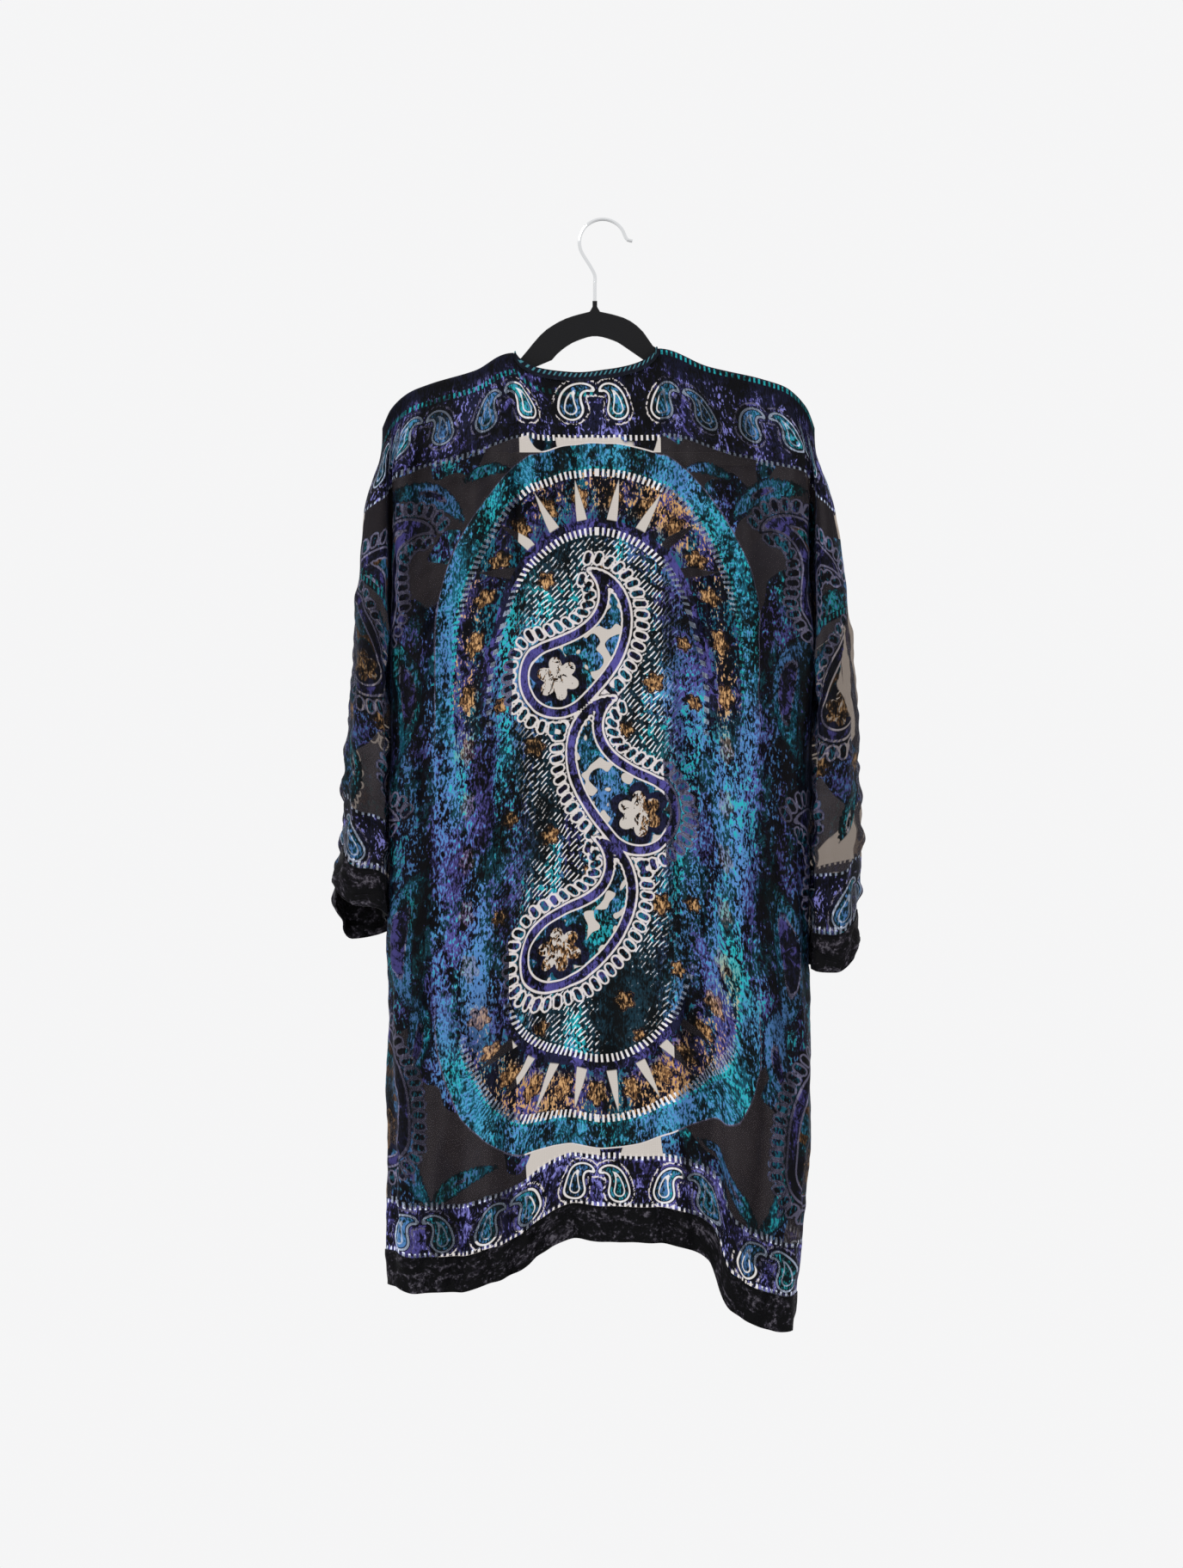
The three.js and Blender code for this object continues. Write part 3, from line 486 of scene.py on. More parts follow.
# Fields are in millimetres. A signed field is negative inside its motif.
FAR = 60.0
YOKE_END = 90
YOKE_SPRIGS = 52
BAND_TOP = CLOTH_LENGTH - HEM_BAND - 52
BAND_END = CLOTH_LENGTH - HEM_BAND
SLEEVE_PRINT = 300  # printed length of a sleeve
CUFF_PRINT = 58
MEDALLION = dict(v=455, half=168, straight=192, lobe=57)
SPINE_STEPS = 26
PETAL_WIDE = 10.5
RING_FLOWER = dict(u=0, v=0, size=30, tilt=12, petals=5)
RING_FLOWER_PITCH = 52
RING_FLOWER_IN = 56  # their distance inside the medallion's edge


def boteh_spine():
    """The circles that a unit paisley is the union of: centres (n, 2) and radii, curling at the tip."""
    t = np.linspace(0, 1, SPINE_STEPS)
    heading = 2.3 * t**2.0
    step = 1.95 / SPINE_STEPS
    x = np.cumsum(np.sin(heading)) * step
    y = -np.cumsum(np.cos(heading)) * step
    return np.stack([x - x[0], y - y[0]], axis=1), 0.5 * (1 - t) ** 0.85 + 0.02


SPINE, SPINE_RADII = boteh_spine()


def boteh_outline(offset, pitch):
    """Points about one pitch apart round a unit paisley at an offset, and their outward directions."""
    tangent = np.gradient(SPINE, axis=0)
    tangent /= np.linalg.norm(tangent, axis=1, keepdims=True)
    side = np.stack([-tangent[:, 1], tangent[:, 0]], axis=1)
    reach = (SPINE_RADII + offset)[:, None]
    cap = np.linspace(0, math.pi, 20)[1:-1, None]
    round_head = np.cos(cap) * side[0] - np.sin(cap) * tangent[0]
    head = SPINE[0] + reach[0] * round_head
    line = np.concatenate([(SPINE + reach * side)[::-1], head, SPINE - reach * side])
    outward = np.concatenate([side[::-1], round_head, -side])
    arc = arc_lengths(line)
    even = np.linspace(0, arc[-1], max(4, round(arc[-1] / pitch)) + 1)

    def pick(values):
        return np.stack([np.interp(even, arc, values[:, i]) for i in (0, 1)], axis=1)

    return pick(line), pick(outward)


def union_of_circles(x, y, centres, radii):
    best = np.full(x.shape, 9.0)
    for (cx, cy), radius in zip(centres, radii):
        best = np.minimum(best, np.hypot(x - cx, y - cy) - radius)
    return best


# Each motif's signed field, in its own frame and in its own size.


def boteh(x, y, _):
    return union_of_circles(x, y, SPINE, SPINE_RADII)


def petals(x, y, motif):
    """The ring of long petals round a paisley."""
    wide = PETAL_WIDE / motif["size"]
    base, outward = boteh_outline(0.62 * wide, wide)
    centres = np.concatenate([base + outward * step * wide for step in (0, 0.3, 0.6)])
    return union_of_circles(x, y, centres, [0.47 * wide] * len(centres))


def flower(x, y, motif):
    waves = np.abs(np.cos(motif.get("petals", 6) * np.arctan2(y, x) / 2))
    return np.hypot(x, y) - 0.5 * (0.52 + 0.48 * waves**0.7)


def leaf(x, y, motif):
    """A long curved leaf, broad at its head."""
    bent = x - motif.get("bend", 0.55) * y * y
    return (np.hypot(bent / (0.24 - 0.12 * y), y) - 0.5) * 0.3


def drawn(shape, u, v, motif):
    """A motif's signed field in millimetres."""
    size, tilt = motif["size"], math.radians(motif["tilt"])
    du, dv = (u - motif["u"]) / size, (v - motif["v"]) / size
    x = (du * math.cos(tilt) + dv * math.sin(tilt)) * motif.get("flip", 1)
    return size * shape(x, -du * math.sin(tilt) + dv * math.cos(tilt), motif)


def nearest(shape, u, v, motifs):
    """The signed field of the nearest of many motifs, each worked out only round itself."""
    best = np.full(u.shape, FAR)
    for motif in motifs:
        near = np.hypot(u - motif["u"], v - motif["v"]) < 2.1 * motif["size"] + 20
        if near.any():
            best[near] = np.minimum(best[near], drawn(shape, u[near], v[near], motif))
    return best


def mirrored(motifs):
    """The motifs and their twins across the middle of the back."""
    return motifs + [dict(m, u=-m["u"], tilt=-m["tilt"], flip=-m.get("flip", 1)) for m in motifs]


def row_of_botehs(v, half_width, shift=0, size=19.0, pitch=46.0):
    count = int(half_width // pitch)
    return [
        dict(u=(i + 0.5) * pitch + shift, v=v + size * 0.45, size=size, tilt=0, flip=1 if i % 2 else -1)
        for i in range(-count - 1, count + 1)
    ]


BOTEH = ("u", "v", "size", "tilt", "flip")
LEAF = ("u", "v", "size", "tilt", "bend")
FLOWER = ("u", "v", "size", "tilt", "petals")

BACK_BOTEHS = table(BOTEH, [
    (-40, 336, 80, 58, -1), (44, 474, 84, -54, 1), (-38, 612, 82, 60, -1),
]) + mirrored(table(BOTEH, [
    (243, 220, 66, -8, -1), (234, 752, 76, -14, 1), (272, 500, 62, -4, -1), (352, 210, 60, 12, 1),
]))
BACK_LEAVES = mirrored(table(LEAF, [
    (168, 122, 84, 58), (112, 112, 46, 80), (196, 316, 120, 6), (204, 560, 130, -6, -0.5),
    (186, 664, 96, -14), (142, 800, 70, 112), (196, 786, 84, 16, -0.6), (288, 350, 110, 8, -0.5),
    (286, 640, 110, -8), (400, 230, 110, 4), (318, 300, 84, -14),
]))
BACK_FLOWERS = mirrored(table(FLOWER, [(99, 356, 19, 0), (100, 560, 19, 0)])) + table(FLOWER, [
    (4, 232, 30, 0, 5), (-52, 236, 22, 20, 5), (58, 340, 25, 40, 5), (88, 300, 18, 0, 5),
    (30, 388, 20, 10, 5), (-64, 404, 24, 0, 5), (-88, 470, 20, 25, 5), (-48, 494, 24, 50, 5),
    (-6, 534, 20, 0, 5), (66, 566, 26, 15, 5), (84, 630, 20, 0, 5), (28, 664, 24, 30, 5),
    (-58, 684, 20, 0, 5), (44, 700, 18, 0, 5),
])
FRONT_BOTEHS = table(BOTEH, [
    (150, 190, 66, -14, 1), (205, 350, 62, 190, -1), (140, 500, 68, -16, 1), (210, 640, 60, 186, -1),
    (145, 770, 58, -12, 1), (330, 210, 62, 14, -1), (420, 190, 52, 0, 1),
])
FRONT_LEAVES = table(LEAF, [
    (235, 150, 76, 30), (110, 300, 84, -10), (255, 470, 86, 12), (100, 620, 84, 8),
    (250, 760, 80, -16), (300, 330, 80, 0), (380, 290, 84, 12), (105, 420, 60, 20),
])
FRONT_FLOWERS = table(FLOWER, [
    (195, 250, 26, 0), (120, 380, 22, 0), (190, 430, 24, 0), (240, 560, 24, 0), (110, 690, 24, 0),
    (205, 720, 22, 0),
])
SLEEVE_BOTEHS = table(BOTEH, [
    (122, 90, 60, 10, 1), (196, 175, 58, 188, -1), (60, 190, 54, -10, -1), (270, 90, 54, 12, 1),
])
SLEEVE_LEAVES = table(LEAF, [
    (165, 60, 80, -8), (130, 200, 76, 12), (215, 70, 70, 20), (90, 60, 70, 0), (25, 90, 80, 8),
])
SLEEVE_FLOWERS = table(FLOWER, [(150, 150, 24, 0), (100, 140, 24, 0), (240, 190, 24, 0), (20, 190, 24, 0)])
MOTIFS = {
    "back": (BACK_BOTEHS, BACK_LEAVES, BACK_FLOWERS),
    "front": (FRONT_BOTEHS, FRONT_LEAVES, FRONT_FLOWERS),
    "sleeve": (SLEEVE_BOTEHS, SLEEVE_LEAVES, SLEEVE_FLOWERS),
}


def medallion(u, v):
    """Signed distance to the medallion's edge, narrower rings at its sides, and the way round it."""
    half, straight = MEDALLION["half"], MEDALLION["straight"]
    out, along = np.abs(u), v - MEDALLION["v"]
    past = np.maximum(np.abs(along) - straight, 0)
    distance = np.where(past > 0, np.hypot(out, past), out) - half
    top = half * np.arctan2(out, np.maximum(past, 1e-6))
    quarter = half * math.pi / 2
    bottom = 2 * (quarter + straight) - top
    turn = np.where(along < -straight, top, np.where(along > straight, bottom, quarter + along + straight))
    thin = lerp(0.62, 1.0, smooth((np.abs(along) - 110) / 150))
    return np.clip(distance, -FAR * 4, FAR) / thin, turn


def ripple(u, v, seed, wave, count=14):
    """A smooth random field of about unit size, with waves about that long in millimetres."""
    rng = np.random.default_rng(seed)
    total = 0 * u
    for _ in range(count):
        angle = rng.uniform(0, 2 * math.pi)
        k = 2 * math.pi / (wave * rng.uniform(0.6, 1.6))
        across_wave = k * (u * math.cos(angle) + v * math.sin(angle))
        total = total + np.sin(across_wave + rng.uniform(0, 2 * math.pi))
    return total / math.sqrt(count / 2)


def printed_fields(u, v, kind):
    """All the fields of the print on a panel, from its flat coordinates."""
    if kind == "sleeve":
        band = np.maximum(SLEEVE_PRINT - CUFF_PRINT - v, v - SLEEVE_PRINT + 3)
        rows = row_of_botehs(SLEEVE_PRINT - 24, 190, 150)
    else:
        band = np.minimum(v - YOKE_END, np.maximum(BAND_TOP - v, v - BAND_END))
        rows = row_of_botehs(YOKE_SPRIGS, 480) + row_of_botehs(0.5 * (BAND_TOP + BAND_END) + 2, 320)
    ring, turn, ring_flowers = np.full(u.shape, FAR), 0 * u, FAR
    if kind == "back":
        ring, turn = medallion(u, v)
        along = (turn % RING_FLOWER_PITCH) - RING_FLOWER_PITCH / 2
        ring_flowers = drawn(flower, along, ring + RING_FLOWER_IN, RING_FLOWER)
    botehs, leaves, flowers = MOTIFS[kind]
    hearts = [dict(m, size=0.56 * m["size"], petals=6, tilt=m["tilt"] + 20) for m in botehs]
    return {
        "ring": ring,
        "turn": turn,
        "band": band,
        "boteh": nearest(boteh, u, v, botehs),
        "petal": nearest(petals, u, v, botehs),
        "leaf": nearest(leaf, u, v, leaves),
        "flower": np.minimum(nearest(flower, u, v, flowers), ring_flowers),
        "heart": nearest(flower, u, v, hearts),
        "sprig": nearest(boteh, u, v, rows),
    }


# ---------- building meshes ----------

MM = 0.001
FIELDS = ("ring", "turn", "band", "boteh", "petal", "leaf", "flower", "heart", "sprig", "seam")
RIM_ROUND = 0.45  # how far a wall's edge stands out, in shares of half its thickness


def add_to_scene(name, data):
    obj = bpy.data.objects.new(name, data)
    bpy.context.scene.collection.objects.link(obj)
    return obj


def make_object(name, points, faces, material, rounded=True):
    """A mesh on the garment's one body, from points in millimetres."""
    mesh = bpy.data.meshes.new(name)
    mesh.from_pydata(np.asarray(points) * MM, [], faces)
    mesh.validate()
    mesh.polygons.foreach_set("use_smooth", np.full(len(mesh.polygons), rounded))
    mesh.materials.append(material)
    obj = add_to_scene(name, mesh)
    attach(obj, "root")
    return obj


def set_flat(obj, u, v):
    """The flat coordinates as a UV map, in metres."""
    layer = obj.data.uv_layers.new(name="flat")
    index = np.empty(len(obj.data.loops), dtype=np.int32)
    obj.data.loops.foreach_get("vertex_index", index)
    uv = np.stack([u[index], v[index]], axis=1) * MM
    layer.data.foreach_set("uv", uv.astype(np.float32).ravel())


def quads(index):
    """The faces of a grid of vertex numbers."""
    corners = index[:-1, :-1], index[1:, :-1], index[1:, 1:], index[:-1, 1:]
    return np.stack(corners, axis=-1).reshape(-1, 4)


class Sheet:
    """One sheet of cloth, joined from grids that may share a row."""

    def __init__(self, name):
        self.name = name
        self.points, self.faces, self.u, self.v, self.fields = [], [], [], [], []
        self.count = 0

    def add(self, points, u, v, fields, first_row=None):
        """Add a grid, whose first row may be vertices that are there already."""
        rows, columns = points.shape[:2]
        skip = 0 if first_row is None else 1
        made = self.count + np.arange((rows - skip) * columns).reshape(rows - skip, columns)
        self.count += made.size
        index = made if first_row is None else np.concatenate([first_row[None, :], made])
        self.faces.append(quads(index))
        self.points.append(points[skip:].reshape(-1, 3))
        self.u.append(u[skip:].ravel())
        self.v.append(v[skip:].ravel())
        self.fields.append({name: field[skip:].ravel() for name, field in fields.items()})
        return index

    def finish(self, material):
        obj = make_object(self.name, np.concatenate(self.points), np.concatenate(self.faces), material)
        set_flat(obj, np.concatenate(self.u), np.concatenate(self.v))
        for name in FIELDS:
            values = np.concatenate([fields[name] for fields in self.fields])
            attribute = obj.data.attributes.new(name, "FLOAT", "POINT")
            attribute.data.foreach_set("value", values.astype(np.float32))
        return obj


def inward_neighbour(grid, rim):
    """For each rim vertex, a vertex one row and column inside it."""
    rows, columns = grid.shape
    r, c = np.divmod(rim, columns)
    return np.clip(r, 1, rows - 2) * columns + np.clip(c, 1, columns - 2)


def thick_object(name, points, outward, thickness, material, u, v):
    """A closed wall of cloth round a grid of points, with a rounded edge."""
    half = thickness / 2
    normals = grid_normals(points, outward)
    count = points.shape[0] * points.shape[1]
    grid = np.arange(count).reshape(points.shape[:2])
    outer_faces = quads(grid)
    rim = np.concatenate([grid[0, :-1], grid[:-1, -1], grid[-1, :0:-1], grid[:0:-1, 0]])
    then = np.roll(rim, -1)
    # The rim bulges a little, so that the edge of the cloth is round.
    flat_points = points.reshape(-1, 3)
    to_edge = flat_points[rim] - flat_points[inward_neighbour(grid, rim)]
    to_edge /= np.maximum(1e-6, np.linalg.norm(to_edge, axis=1, keepdims=True))
    edge_points = flat_points[rim] + RIM_ROUND * half * to_edge
    edge = 2 * count + np.arange(len(rim))
    edge_then = np.roll(edge, -1)
    outer_rim = np.stack([then, rim, edge, edge_then], axis=-1)
    inner_rim = np.stack([edge_then, edge, rim + count, then + count], axis=-1)
    outer, inner = (points + half * normals).reshape(-1, 3), (points - half * normals).reshape(-1, 3)
    faces = np.concatenate([outer_faces, outer_faces[:, ::-1] + count, outer_rim, inner_rim])
    obj = make_object(name, np.concatenate([outer, inner, edge_points]), faces, material)
    set_flat(obj, *[np.concatenate([w.ravel(), w.ravel(), w.ravel()[rim]]) for w in (u, v)])
    return obj


# ---------- the panels ----------

BACKWARDS, FORWARDS = (0, -1, 0), (0, 1, 0)
CUT_FROM_NECK = 74.0  # U of a front's edge at the neck
ROUND_RIDGE = RIDGE * math.pi / 2  # the drop that the shoulder's ridge takes up
SHOULDER_STITCHES = {-1: 22.0, 1: 6.0}  # how far down the back they lie, on the left and right
BAND_THICK = 1.8
NECKBAND_THICK = 1.6

# Creases that hang from the shoulder: their distance from the middle, width and rise.
HANGING_CREASES = ((38, 11, 3.0), (86, 14, -3.4), (128, 10, 4.0), (166, 12, -4.0), (196, 8, 3.6))


def creases(u, v):
    """Soft creases of hanging velvet, in millimetres out of the cloth."""
    hanging = 0 * u
    for centre, width, rise in HANGING_CREASES:
        middle = centre + 5 * np.sin(v / 130 + centre)
        swell = 0.7 + 0.3 * np.sin(v / 95 + centre)
        hanging = hanging + rise * np.exp(-(((np.abs(u) - middle) / width) ** 2)) * swell
    tall = ripple(u * 2.6, v * 0.4, 3, 90)
    soft = ripple(u * 1.4, v * 0.8, 7, 46)
    fine = ripple(u, v, 11, 20)
    return hanging + 2.4 * tall + 1.2 * soft + 0.45 * fine


def crease_share(place):
    """How freely the cloth creases: less at the side, where it meets the sleeve."""
    return np.where(place > ARMPIT - 0.5, 0.25, 1.0) * lerp(1, 0.25, np.exp(-(((place - 6.5) / 1.8) ** 2)))


def print_v(side, layer, place, drop):
    """The flat coordinate V: the drop, counted from the neck point's level, and evened at the hem."""
    lead = 0 * place
    if layer == "back":
        level = 0.5 * (shoulder_at(LEFT, layer, np.ones(1))[1] + shoulder_at(RIGHT, layer, np.ones(1))[1])
        own = shoulder_at(side, layer, np.ones(1))[1]
        top_z = shoulder_at(side, layer, place)[1]
        lead = np.where(place < 1, level - top_z, (level - own) * (1 - smooth((place - 1) / 4)))
    inside = np.minimum(place, ARMPIT)
    hem = drop_to(side, layer, inside, hem_at(side, layer, inside)) + lead
    v = drop + lead
    return v + (CLOTH_LENGTH - hem) * smooth((v - 250) / (hem - 250))


def shoulder_seam(side, layer, place, drop):
    """Distance to the shoulder seam's stitches, which lie a little down the back."""
    if layer == "front":
        return np.full(drop.shape, FAR)
    return drop - SHOULDER_STITCHES[side["sign"]] + 0 * place


def upper_drops(wing):
    """The drops of a body panel's upper grid, close together where it turns over the shoulder."""
    top = np.full(len(wing.u), SEAM_GAP / 2)
    near = np.linspace(SEAM_GAP / 2, ROUND_RIDGE, 6)[:-1, None] + 0 * top[None, :]
    return np.concatenate([near, rows_between(top + ROUND_RIDGE, wing.drops_to(armpit_row))])


def add_body_grid(sheet, columns, drops, below, kind, outward, inwards, first_row):
    """Add one grid of a body panel, creased and printed; below is the distance to its wing's hem."""
    points = columns.points(drops)
    v = columns.grid(drops, print_v)
    u = np.broadcast_to(columns.u, v.shape)
    free = smooth((drops - 12) / 60) * crease_share(columns.place)
    seam = np.abs(np.minimum(columns.grid(drops, shoulder_seam), FAR))
    if below is not None:
        on_wing = columns.place > ARMPIT
        seam = np.where(on_wing, np.minimum(seam, np.abs(below - STITCH_IN)), seam)
        free = free * np.where(on_wing, smooth(below / 25), 1)
    normals = grid_normals(points, outward)
    points = points + normals * (free * creases(u, v))[..., None] - inwards * normals
    return sheet.add(points, u, v, dict(printed_fields(u, v, kind), seam=seam), first_row)


def body_sheet(name, kind, wing, body, body_slice, outward, material, inwards=0.0):
    """A back or front: an upper grid down to the armpit row, and a lower grid to the hem seam."""
    sheet = Sheet(name)
    upper = upper_drops(wing)
    below = wing.drops_to(armpit_row)[None, :] - upper
    index = add_body_grid(sheet, wing, upper, below, kind, outward, inwards, None)
    lower = rows_between(body.drops_to(armpit_row), body.drops_to(hem_at) - HEM_BAND)
    add_body_grid(sheet, body, lower, None, kind, outward, inwards, index[-1, body_slice])
    return sheet.finish(material)


def body_columns(side, layer):
    """The columns of one side, from the middle out: those of the body, and those of the wing."""
    body, body_u = even_places(side, layer, 0, ARMPIT, -600)
    wing, wing_u = even_places(side, layer, ARMPIT, FOLD, side["sleeve_top_z"] + 20)
    first_u = CUT_FROM_NECK if layer == "front" else 0.0
    return body, body_u + first_u, wing[1:], wing_u[1:] + body_u[-1] + first_u


def both_sides(left, left_u, right, right_u):
    """The back's columns from the left to the right, with one in the middle."""
    return Columns([(LEFT, "back", left[::-1], -left_u[::-1]), (RIGHT, "back", right[1:], right_u[1:])])


def make_back(material):
    left, left_u, left_wing, left_wing_u = body_columns(LEFT, "back")
    right, right_u, right_wing, right_wing_u = body_columns(RIGHT, "back")
    join = np.concatenate
    wing = both_sides(
        join([left, left_wing]), join([left_u, left_wing_u]),
        join([right, right_wing]), join([right_u, right_wing_u]),
    )
    body = both_sides(left, left_u, right, right_u)
    middle = slice(len(left_wing), len(left_wing) + len(body.u))
    return body_sheet("back_cloth", "back", wing, body, middle, BACKWARDS, material), body


def make_front(side, word, material, reverse):
    """A front panel, with its wrong side as a second skin just inside it."""
    place, u, wing_place, wing_u = body_columns(side, "front")
    sign = side["sign"]
    wing_parts = (side, "front", np.concatenate([place, wing_place]), sign * np.concatenate([u, wing_u]))
    wing, body = Columns([wing_parts]), Columns([(side, "front", place, sign * u)])
    shape = ("front", wing, body, slice(0, len(place)), FORWARDS)
    front = body_sheet(f"front_{word}_cloth", *shape, material)
    return front, body_sheet(f"front_{word}_reverse", *shape, reverse, REVERSE_GAP), body


def sleeve_columns(side):
    back, back_u = even_places(side, "back", ARMPIT, FOLD, -560, MESH_STEP, True)
    front, front_u = even_places(side, "front", ARMPIT, FOLD, -560, MESH_STEP, True)
    around = back_u[-1] + front_u[-1] - front_u[::-1]
    return Columns([(side, "back", back, back_u), (side, "front", front[::-1][1:], around[1:])])


# The sheer strips at the right sleeve's outer edge: V, half width and half length.
SLEEVE_WINDOWS = ((66, 34, 84), (236, 46, 50))
WINDOW_U = (150, 236)  # their middles on the sleeve's back and on its front


def sleeve_windows(u, v):
    """Below zero where both layers of the right sleeve are sheer."""
    off = np.minimum(np.abs(u - WINDOW_U[0]), np.abs(u - WINDOW_U[1]))
    windows = [off / half + np.abs(v - at) / tall - 1 for at, half, tall in SLEEVE_WINDOWS]
    return np.minimum(0, np.min(windows, axis=0) + 0.06 * ripple(u, v, 51, 30))


def sleeve_outward(side):
    return side["sign"] * 0.3, -1, 0


def closed(points):
    """A tube's grid, with its last column brought back onto its first."""
    points[:, -1] = points[:, 0]
    return points


def make_sleeve(side, word, material):
    columns = sleeve_columns(side)
    start, end = columns.drops_to(armpit_row) + SEAM_GAP, columns.drops_to(cuff_at) - CUFF_BAND
    drops = rows_between(start, end)
    points = columns.points(drops, True)
    share = (drops - start) / (end - start)
    u, v = np.broadcast_to(columns.u, drops.shape), share * SLEEVE_PRINT
    free = smooth((drops - start) / 30) * smooth((end - drops) / 25)
    rumple = 1.2 * ripple(u, v * 1.6, 21, 60) * smooth(share * 1.2)
    fold_u = columns.u[np.argmax(points[0, :, 0] * side["sign"])]
    ridge = 3.0 * np.exp(-(((u - fold_u + 20 + 3 * np.sin(v / 40)) / 3.5) ** 2)) * (1 - share)
    inner = 0.2 + 0.8 * smooth(np.abs(u - 12) / 26)
    height = free * (inner * (0.8 * creases(u, v) + rumple) + ridge)
    points = closed(raised(points, sleeve_outward(side), height))
    stitches = np.minimum(FAR, np.abs(drops - start - STITCH_IN))
    fields = dict(printed_fields(u, v, "sleeve"), seam=stitches)
    if side is RIGHT:
        fields["turn"] = sleeve_windows(u, v)
    sheet = Sheet(f"sleeve_{word}_cloth")
    sheet.add(points, u, v, fields)
    return sheet.finish(material)


def band_grid(columns, height, width, of_sleeve=False):
    """A band of plain velvet down to a height: its points, U and V."""
    end = columns.drops_to(height)
    drops = rows_between(end - width + SEAM_GAP, end)
    return columns.points(drops, of_sleeve), np.broadcast_to(columns.u, drops.shape), drops - end + width


def make_cuff(side, word, material):
    points, u, v = band_grid(sleeve_columns(side), cuff_at, CUFF_BAND, True)
    rumple = ripple(u * 1.3, v * 1.5, 31, 34) * smooth(v / 14)
    outward = sleeve_outward(side)
    points = closed(raised(points, outward, 1.5 * rumple))
    return thick_object(f"cuff_{word}_cloth", points, outward, BAND_THICK, material, u, v)


def make_hem(name, body, outward, material):
    points, u, v = band_grid(body, hem_at, HEM_BAND)
    rumple = ripple(u * 1.2, v * 1.4, 41, 40) * smooth(v / 12)
    folds = creases(u, v + CLOTH_LENGTH - HEM_BAND) * crease_share(body.place)
    points = raised(points, outward, folds + 0.8 * rumple)
    return thick_object(name, points, outward, BAND_THICK, material, u, v)


def make_neckband(material):
    left, left_u = even_places(LEFT, "back", 0, 1, -175, 2.0)
    right, right_u = even_places(RIGHT, "back", 0, 1, -175, 2.0)
    columns = both_sides(left, left_u, right, right_u)
    drops = np.linspace(SEAM_GAP / 2, NECKBAND, 7)[:, None] + np.zeros(len(columns.u))[None, :]
    points = raised(columns.points(drops), BACKWARDS, WALL / 2 + 3 * SEAM_GAP)
    u = np.broadcast_to(columns.u, drops.shape)
    return thick_object("neckband_cloth", points, BACKWARDS, NECKBAND_THICK, material, u, drops)


ARM_CORNER = (48, -134.5)  # X and Z of the CAD's corner where the hanger's right arm meets the arch
ARM_SHIFT = (3.5, 6.5)


def make_hanger(node, material):
    """The CAD hanger, with the arch running on into the right arm without a corner."""
    points = np.array([node.matrix_world @ vertex.co for vertex in node.data.vertices]) / MM
    faces = [list(polygon.vertices) for polygon in node.data.polygons]
    corner = np.hypot(points[:, 0] - ARM_CORNER[0], points[:, 2] - ARM_CORNER[1]) < 4
    points[corner] += (ARM_SHIFT[0], 0, ARM_SHIFT[1])
    return make_object("hanger_flocked", points, faces, material, rounded=False)


# ---------- materials ----------


class Field:
    """A shader value with plain arithmetic."""

    def __init__(self, tree, socket):
        self.tree, self.socket = tree, socket

    def math(self, operation, *others):
        node = self.tree.nodes.new("ShaderNodeMath")
        node.operation = operation
        for i, value in enumerate((self, *others)):
            if isinstance(value, Field):
                self.tree.links.new(value.socket, node.inputs[i])
            else:
                node.inputs[i].default_value = value
        return Field(self.tree, node.outputs[0])

    def __add__(self, other):
        return self.math("ADD", other)

    def __sub__(self, other):
        return self.math("SUBTRACT", other)

    def __mul__(self, other):
        return self.math("MULTIPLY", other)

    def __truediv__(self, other):
        return self.math("DIVIDE", other)

    def inverse(self):
        return self * -1 + 1

    def size(self):
        return self.math("ABSOLUTE")

    def fraction(self):
        return self.math("FRACT")

    def most(self, *others):
        value = self
        for other in others:
            value = value.math("MAXIMUM", other)
        return value

    def ramp(self, low, high):
        """0 below low and 1 above high, smooth between; low may be the larger."""
        node = self.tree.nodes.new("ShaderNodeMapRange")
        node.interpolation_type = "SMOOTHSTEP"
        self.tree.links.new(self.socket, node.inputs["Value"])
        rising = low < high
        limits = (("From Min", min(low, high)), ("From Max", max(low, high)))
        for name, value in (*limits, ("To Min", 0.0 if rising else 1.0), ("To Max", 1.0 if rising else 0.0)):
            node.inputs[name].default_value = value
        return Field(self.tree, node.outputs["Result"])

    def inside(self, edge=0.0, blur=0.5):
        """1 where this signed field is below an edge."""
        return self.ramp(edge + blur, edge - blur)

    def line(self, at, half, blur=0.4):
        """1 within half a line's width of a value."""
        return (self - at).size().ramp(half + blur, max(0.0, half - blur))

    def between(self, low, high, blur=0.6):
        return self.ramp(low - blur, low + blur) * self.ramp(high + blur, high - blur)

    def repeat(self, pitch):
        """Runs from 0 to 1 again and again, over a pitch in millimetres."""
        return (self / pitch).fraction()

    def off_middle(self, pitch):
        """The distance from the middle of each pitch, up to a half."""
        return (self.repeat(pitch) - 0.5).size()


class Paint:
    """A colour that is built up in layers."""

    def __init__(self, tree, colour):
        self.tree, self.value = tree, colour

    def over(self, mask, colour):
        node = self.tree.nodes.new("ShaderNodeMix")
        node.data_type = "RGBA"
        self.tree.links.new(mask.socket, node.inputs["Factor"])
        for name, value in (("A", self.value), ("B", colour)):
            socket = [s for s in node.inputs if s.name == name and s.type == "RGBA"][0]
            if isinstance(value, tuple):
                socket.default_value = (*value, 1)
            else:
                self.tree.links.new(value, socket)
        self.value = [s for s in node.outputs if s.type == "RGBA"][0]

    def tones(self, *tones, mask=None):
        """Lay each tone where its value runs from low to high, inside the mask if there is one."""
        for value, low, high, colour in tones:
            part = value.ramp(low, high)
            self.over(part if mask is None else mask * part, colour)
        return self.value


def new_material(name):
    material = bpy.data.materials.new(name)
    material.use_nodes = True
    material.node_tree.nodes.clear()
    return material, material.node_tree


